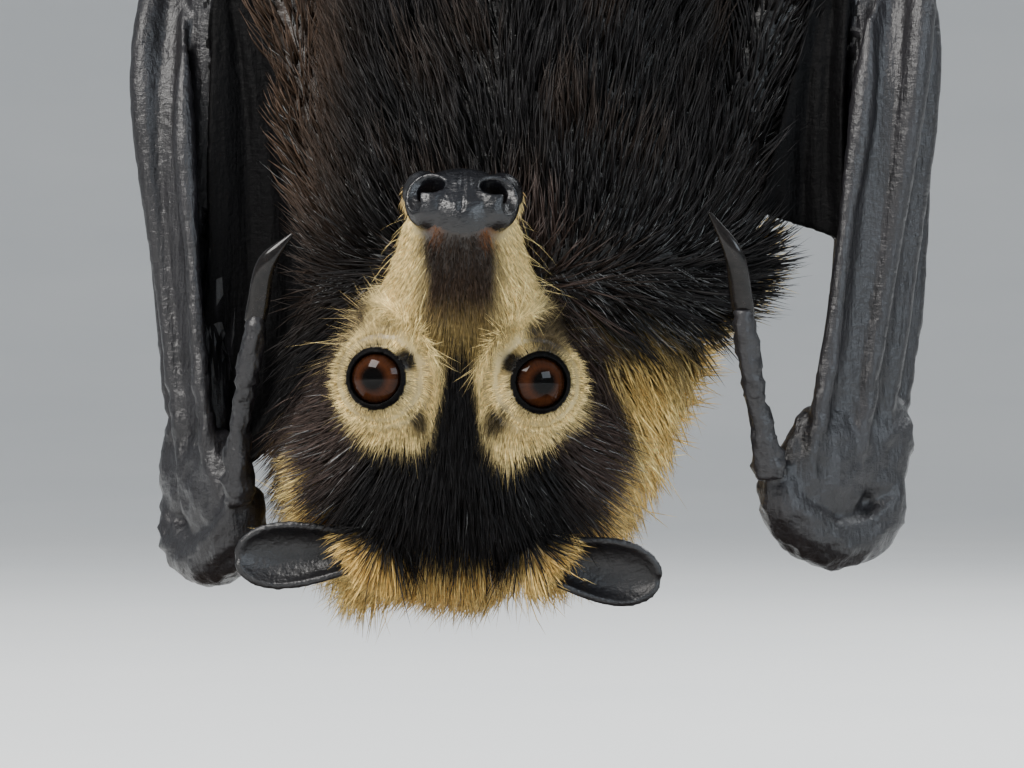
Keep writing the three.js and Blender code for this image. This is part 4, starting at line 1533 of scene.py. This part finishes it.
def hair_material():
    material, nodes, links, shader = new_material("hair")
    marking = add_node(nodes, "ShaderNodeAttribute", attribute_name="marking")
    vary = noise(nodes, links, place_input(nodes, links), 1400, 0)
    shade = ramp(nodes, links, vary, [(0.3, (205, 205, 205)), (0.7, (255, 255, 255))])
    tinted = mix(nodes, links, 1.0, marking.outputs["Color"], shade, "MULTIPLY")
    links.new(tinted, shader.inputs["Base Color"])
    shader.inputs["Roughness"].default_value = 0.58
    shader.inputs["Specular IOR Level"].default_value = 0.28
    return material


hair_look = hair_material()
coat_counts = {}
print("skin area in square millimetres:", round(float(face_area.sum())))

# %% [markdown]
# ## Lie of the coat
# On the face the hair runs back from the nose and turns outwards round the eyes. On the cheeks it
# points outwards. Over the crown it runs to the nape, where the mantle hangs loose. On the body it
# runs from the neck to the tail, and on the limbs towards the hands and the feet.

# %% Lie of the coat
DEPTH_AT = [(-45, 6.5), (-38, 7.0), (-30, 6.8), (-22, 6.2), (-14, 5.2), (-6, 3.8), (2, 2.8)]
DEPTH_AT += [(10, 2.1), (18, 1.6), (26, 1.2), (33, 0.9), (38, 0.4)]


def along_skin(way, normals):
    """Directions laid flat on the skin."""
    return unit(way - normals * np.einsum("ij,ij->i", way, normals)[:, None])


def head_lie(points, normals):
    """The way the hair lies on the head, in world terms."""
    q = to_head(points)
    way = np.zeros_like(q)
    way[:, 1] = -1.0
    way[:, 0] = np.sign(q[:, 0]) * step_between(4, 22, np.abs(q[:, 0])) * 0.9
    for name, side in SIDES.items():
        away = across_gaze(q - EYE[name], name)
        reach = np.linalg.norm(away, axis=1)
        pull = (step_between(17, 6, reach) * step_between(1.5, 8, q[:, 0] * side))[:, None]
        way = way * (1 - 0.8 * pull) + unit(away) * pull * 1.3
    cheek = step_between(14, 24, np.abs(q[:, 0])) * step_between(6, -4, q[:, 2])
    way[:, 0] += np.sign(q[:, 0]) * cheek * 0.8
    way[:, 2] -= cheek * 0.2
    return along_skin(way @ HEAD_TURN.T, normals)


def body_lie(points, normals):
    """Towards the tail on the trunk; loose and downwards on the mantle."""
    way = np.zeros_like(points)
    behind = step_between(6, 20, points[:, 1])
    loose = step_between(132 - 60 * behind, 112 - 54 * behind, points[:, 2])
    way[:, 2] = 1 - 2.1 * loose
    way[:, 0] = np.sign(points[:, 0]) * (0.12 + 0.55 * loose)
    way = way + 0.22 * np.stack([wave(points, 16, 31), wave(points, 18, 32), wave(points, 20, 33)], 1)
    return along_skin(way, normals)


def slanted(lie, normals, degrees):
    angle = np.radians(degrees)
    if np.ndim(angle):
        angle = angle[:, None]
    return unit(lie * np.cos(angle) + normals * np.sin(angle))


def shaken(vectors, amount, seed):
    return unit(vectors + np.random.default_rng(seed).normal(size=vectors.shape) * amount)


def head_depth(points):
    """How far the coat of the head stands off, kept low round the eyes and the ears' roots."""
    q = to_head(points)
    depth = np.interp(q[:, 1], [a for a, _ in DEPTH_AT], [b for _, b in DEPTH_AT])
    x = q[:, 0]
    depth = depth * (1 + (0.4 + 0.3 * (x > 0)) * step_between(14, 22, np.abs(x)))
    for name, side in SIDES.items():
        reach = np.linalg.norm(q - EYE[name], axis=1)
        depth = np.minimum(depth, np.interp(reach, [6.5, 9, 13, 18], [0.6, 1.2, 3.0, 9.0]))
        root = np.linalg.norm(q - [side * 16, -30.5, 11], axis=1)
        depth = np.minimum(depth, np.interp(root, [3, 10], [2.0, 7.5]))
        mound = np.linalg.norm(q - [side * 12.5, -29, 6], axis=1)
        depth = np.minimum(depth, np.interp(mound, [5, 11], [2.2, 8.0]))
    return depth


def crown_lift(points):
    """The slant on the crown in degrees: flat between the ears, raised at its sides."""
    q = to_head(points)
    mound = np.min([np.linalg.norm(q - [side * 12.5, -29, 6], axis=1) for side in SIDES.values()], axis=0)
    inner = step_between(9, 5, mound) * step_between(16, 13, np.abs(q[:, 0]))
    return 31 - 11 * inner + 17 * step_between(17, 23, np.abs(q[:, 0])) * step_between(-40, -30, q[:, 1])


def trunk_depth(points):
    """How far the coat of the trunk and the mantle stands off."""
    depth = np.interp(points[:, 2], [62, 80, 120, 150, 230, 262], [6.5, 8.5, 8.0, 7.6, 7.0, 5.0])
    return depth + 4.5 * step_between(-14, -26, points[:, 0]) * step_between(128, 104, points[:, 2])


print("coat depth on the nape and the muzzle:", DEPTH_AT[1][1], DEPTH_AT[-3][1])

# %% [markdown]
# ## Growing one piece of coat
# Blender's own hair system would be quicker to style, but its strands aren't part of a mesh, and a
# part that others reuse has to carry its coat as one. So each lock is placed, slanted and drawn to
# its neighbours here. Every piece has a seed of its own, and changing one leaves the others alone.

# %% Growing one piece of coat
SHORTEST, LONGEST = 0.8, 19


def grow(name, weight, depth, lift, droop, width, density, seed, slot, lie, clumping=0.35,
         clump_size=14, wild=0.12, light=0.18, tip_gain=1.35, segments=3, color_of=furred_color):
    """Scatter, slant, clump and build one piece of coat."""
    roots, normals, _ = scatter(weight * density, seed)
    turn = np.random.default_rng(seed + 1)
    vary = turn.uniform(0.78, 1.18, len(roots))
    tall = depth(roots) * vary
    lift_by = lift(roots) if callable(lift) else np.full(len(roots), float(lift))
    lift_by = lift_by + turn.normal(0, 5, len(roots))
    start = shaken(slanted(lie(roots, normals), normals, np.clip(lift_by + 12, 6, 85)), wild, seed + 2)
    finish = shaken(slanted(lie(roots, normals), normals, np.clip(lift_by - 12, 2, 80)), wild * 1.4, seed + 3)
    finish = unit(finish + np.array([0, 0, -1.0]) * droop)
    length = tall / np.sin(np.radians(np.clip(lift_by, 12, 80)))
    length = np.clip(length, SHORTEST, LONGEST)
    ends = roots + length[:, None] * (start / 2 + finish / 2)
    pulled, nearest = clump(roots, ends, clumping, clump_size, seed + 4)
    finish = unit(2 * (pulled - roots) / length[:, None] - start)
    base = color_of(roots)
    tone = 1 + turn.normal(0, light, len(roots)) + 0.5 * light * turn.normal(0, 1, len(roots))[nearest]
    base = base * np.clip(tone, 0.45, 1.7)[:, None]
    wide = width * turn.uniform(0.7, 1.3, len(roots))
    roots = roots - normals * 0.35
    return coat_piece(name, roots, start, finish, length, wide, base, base * tip_gain, segments)


print("locks are between", SHORTEST, "and", LONGEST, "mm long")

# %% [markdown]
# ## Where the coat grows
# Masks over the skin's triangles split the coat into pieces that each stay small enough to handle.
# The face has many short fine locks, and the body has fewer and wider ones, because a close view
# shows single hairs only on the face.

# %% Where the coat grows
head_like = to_head(face_middle)
is_head = face_label["head"] & ~face_label["nose"]
eye_gap = np.min([np.linalg.norm(head_like - EYE[name], axis=1) for name in SIDES], axis=0)
openings = (head_like[:, 1] > pad_edge(head_like) + 0.3) & (head_like[:, 2] > -14.6)
lid_clear = eye_gap > 7.6
muzzle = is_head & (head_like[:, 1] > 4) & lid_clear & ~openings & (head_like[:, 1] < 35)
brow = is_head & (head_like[:, 1] <= 4) & (head_like[:, 1] > -9) & lid_clear
crown = is_head & (head_like[:, 1] <= -9)
eye_side = np.full(len(face_middle), 99.0)
for name in SIDES:
    off_gaze = across_gaze(head_like - EYE[name], name)
    eye_side = np.minimum(eye_side, np.linalg.norm(off_gaze, axis=1))
around_eyes = (is_head | face_label["lid"]) & (eye_gap > 6.55) & (eye_gap < 12) & (eye_side > 5.05)

neck_mask = face_label["neck"] | (
    face_label["trunk"] & (face_middle[:, 2] < 128) & (face_middle[:, 1] > 4)
)
mantle_left = neck_mask & (face_middle[:, 0] < 0)
mantle_right = neck_mask & (face_middle[:, 0] >= 0)
chest = face_label["trunk"] & (face_middle[:, 1] < 12) & ~neck_mask
back = face_label["trunk"] & (face_middle[:, 1] >= 12) & ~neck_mask
arms = face_label["upper_arm"] | face_label["thigh"]
shins = face_label["shin"]
lashes = (face_label["lid"] | is_head) & (eye_side > 4.85) & (eye_side < 5.35) & (eye_gap < 8.4)
guard_area = 1.5 * chest + 0.8 * (crown & (np.abs(head_like[:, 0]) > 17)) + 0.15 * crown
guard_area = guard_area + 0.5 * arms
whisker_area = (muzzle & (np.abs(head_like[:, 0]) > 5) & (head_like[:, 1] < 29)).astype(float)
print("triangles that carry whiskers:", int(whisker_area.sum()))

# %% [markdown]
# ## The coat
# The short coat of the face lies at about 20 degrees to the skin. The mantle stands up at 46 and
# then droops. Fine pale guard hairs and a few whiskers come last, over the rest, because a coat of
# one kind of hair looks like felt.

# %% The coat


def even_depth(depth):
    """The same depth of coat everywhere."""
    return lambda points: np.full(len(points), depth)


def plain(color):
    """The same colour everywhere."""
    return lambda points: np.tile(color, (len(points), 1))


def guard_depth(points):
    """Guard hairs stand a little above the coat round them."""
    on_skull = to_head(points)[:, 1] > -45
    return np.where(on_skull, head_depth(points), trunk_depth(points)) * 1.05


def guard_lie(points, normals):
    """Guard hairs follow the coat of the body or of the head."""
    return np.where(points[:, 2:3] > 125, body_lie(points, normals), head_lie(points, normals))


dark_face = {"slot": "dark_fur", "lie": head_lie}
dark_body = {"slot": "dark_fur", "lie": body_lie}
mantle = {"slot": "golden_fur", "lie": body_lie}
grow("coat_muzzle", muzzle, head_depth, lift=22, droop=0, width=0.21, density=6.7, seed=101,
     clumping=0.3, clump_size=8, wild=0.1, segments=2, **dark_face)
grow("coat_eye_rings", around_eyes, head_depth, lift=24, droop=0, width=0.17, density=12, seed=102,
     clumping=0.25, clump_size=7, wild=0.1, segments=2, **dark_face)
grow("coat_brow", brow, head_depth, lift=26, droop=0, width=0.2, density=8, seed=103,
     clumping=0.3, clump_size=9, segments=2, **dark_face)
grow("coat_crown", crown, head_depth, lift=crown_lift, droop=0.1, width=0.25, density=3.6, seed=104,
     clump_size=12, **dark_face)
grow("coat_mantle_left", mantle_left, trunk_depth, lift=46, droop=0.35, width=0.4, density=2,
     seed=105, clumping=0.45, clump_size=16, wild=0.17, **mantle)
grow("coat_mantle_right", mantle_right, trunk_depth, lift=46, droop=0.35, width=0.4, density=2,
     seed=115, clumping=0.45, clump_size=16, wild=0.17, **mantle)
grow("coat_chest", chest, trunk_depth, lift=34, droop=0.05, width=0.34, density=1.06, seed=106,
     clumping=0.4, **dark_body)
grow("coat_back", back, trunk_depth, lift=36, droop=0.05, width=0.6, density=0.8, seed=107,
     clumping=0.4, **dark_body)
grow("coat_arms", arms, even_depth(5.0), lift=32, droop=0.05, width=0.5, density=0.7, seed=108,
     clumping=0.4, **dark_body)
grow("coat_shins", shins, even_depth(1.2), lift=18, droop=0, width=0.3, density=1.2, seed=109,
     clumping=0.3, clump_size=8, segments=2, **dark_body)
grow("coat_lid_hairs", lashes, even_depth(0.45), lift=28, droop=0, width=0.16, density=16, seed=112,
     clumping=0.1, clump_size=6, wild=0.2, light=0.2, tip_gain=1.0, segments=2, color_of=plain(BLACK),
     **dark_face)
grow("coat_guard_hairs", guard_area, guard_depth, lift=40, droop=0, width=0.15, density=0.42,
     seed=110, slot="dark_fur", lie=guard_lie, clumping=0.15, clump_size=10, wild=0.16, light=0.25,
     tip_gain=1.5, color_of=plain(SILVER * 0.36))
grow("coat_whiskers", whisker_area, even_depth(5.0), lift=34, droop=0, width=0.09, density=0.07,
     seed=111, slot="golden_fur", lie=head_lie, clumping=0, clump_size=10, wild=0.14, light=0.2,
     tip_gain=1.2, segments=5, color_of=plain(PALE_GOLD))
print("coat triangles:", coat_counts, "sum", sum(coat_counts.values()))
print("skin triangles:", len(skin_tris))

# %% [markdown]
# ## Skin material
# The bare skin is slate grey leather with a soft shine, with lengthwise creases and fine pebbles. The
# inner wing skin and the rims of the lids take a second, nearly matt one. A single material with a
# painted shine would be neater, but a shine that is linked doesn't survive the trip to other tools.

# %% Skin material


def leather_look(name, shine, roughness):
    """Bare skin: its markings under a cloudy tone, with streaks on the wings, creases and pebbles."""
    leather, nodes, links, shader = new_material(name)
    tone = noise(nodes, links, place_input(nodes, links), 90, 4)
    marking = add_node(nodes, "ShaderNodeAttribute", attribute_name="marking")
    pebble_node = add_node(nodes, "ShaderNodeTexVoronoi", Scale=1500.0)
    links.new(place_input(nodes, links, (1, 1, 0.6)), pebble_node.inputs["Vector"])
    streaks = noise(nodes, links, place_input(nodes, links, (1, 1, 0.1)), 480, 5, 0.6)
    wrinkles = noise(nodes, links, place_input(nodes, links, (0.5, 0.5, 1)), 800, 5, 0.65)
    cloudy = ramp(nodes, links, tone, [(0.3, (190, 190, 190)), (0.7, (255, 255, 255))])
    tinted = mix(nodes, links, 1.0, marking.outputs["Color"], cloudy, "MULTIPLY")
    links.new(tinted, shader.inputs["Base Color"])
    wet = add_node(nodes, "ShaderNodeAttribute", attribute_name="wet")
    less = math_node(nodes, links, "MULTIPLY", wet.outputs["Fac"], -0.12)
    links.new(math_node(nodes, links, "ADD", less, roughness), shader.inputs["Roughness"])
    shader.inputs["Specular IOR Level"].default_value = shine
    on_wing = add_node(nodes, "ShaderNodeAttribute", attribute_name="on_wing")
    along_wing = math_node(nodes, links, "MULTIPLY", streaks, on_wing.outputs["Fac"])
    lengthwise = bump(nodes, links, along_wing, 0.0009, 0.5)
    creased = bump(nodes, links, wrinkles, 0.0006, 0.5, lengthwise)
    pebbled = bump(nodes, links, pebble_node.outputs["Distance"], 0.00015, 0.4, creased)
    links.new(pebbled, shader.inputs["Normal"])
    return leather


skin.data.materials.append(leather_look("bat_skin", 0.5, 0.38))
skin.data.materials.append(leather_look("dull_skin", 0.08, 0.58))
first_loop = np.empty(len(skin.data.polygons), np.int32)
skin.data.polygons.foreach_get("loop_start", first_loop)
loop_vertex = np.empty(len(skin.data.loops), np.int32)
skin.data.loops.foreach_get("vertex_index", loop_vertex)
skin.data.polygons.foreach_set("material_index", dull_skin[loop_vertex[first_loop]].astype(np.int32))
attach(skin, "root")
flesh = ["head", "lower_jaw", "neck", "trunk"]
LIMB_NODES = ("ear", "thigh", "upper_arm", "forearm", "wrist", "thumb", "shin", "foot")
for name in SIDES:
    flesh += [f"{part}_{name}" for part in LIMB_NODES]
    flesh += [f"finger_{number}_{name}" for number in FINGERS]
    flesh += [f"web_{first}_{second}_{name}" for first, second, _, _ in WEBS]
    flesh += [f"{key}_membrane_{name}" for key in MEMBRANES]
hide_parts(*flesh)
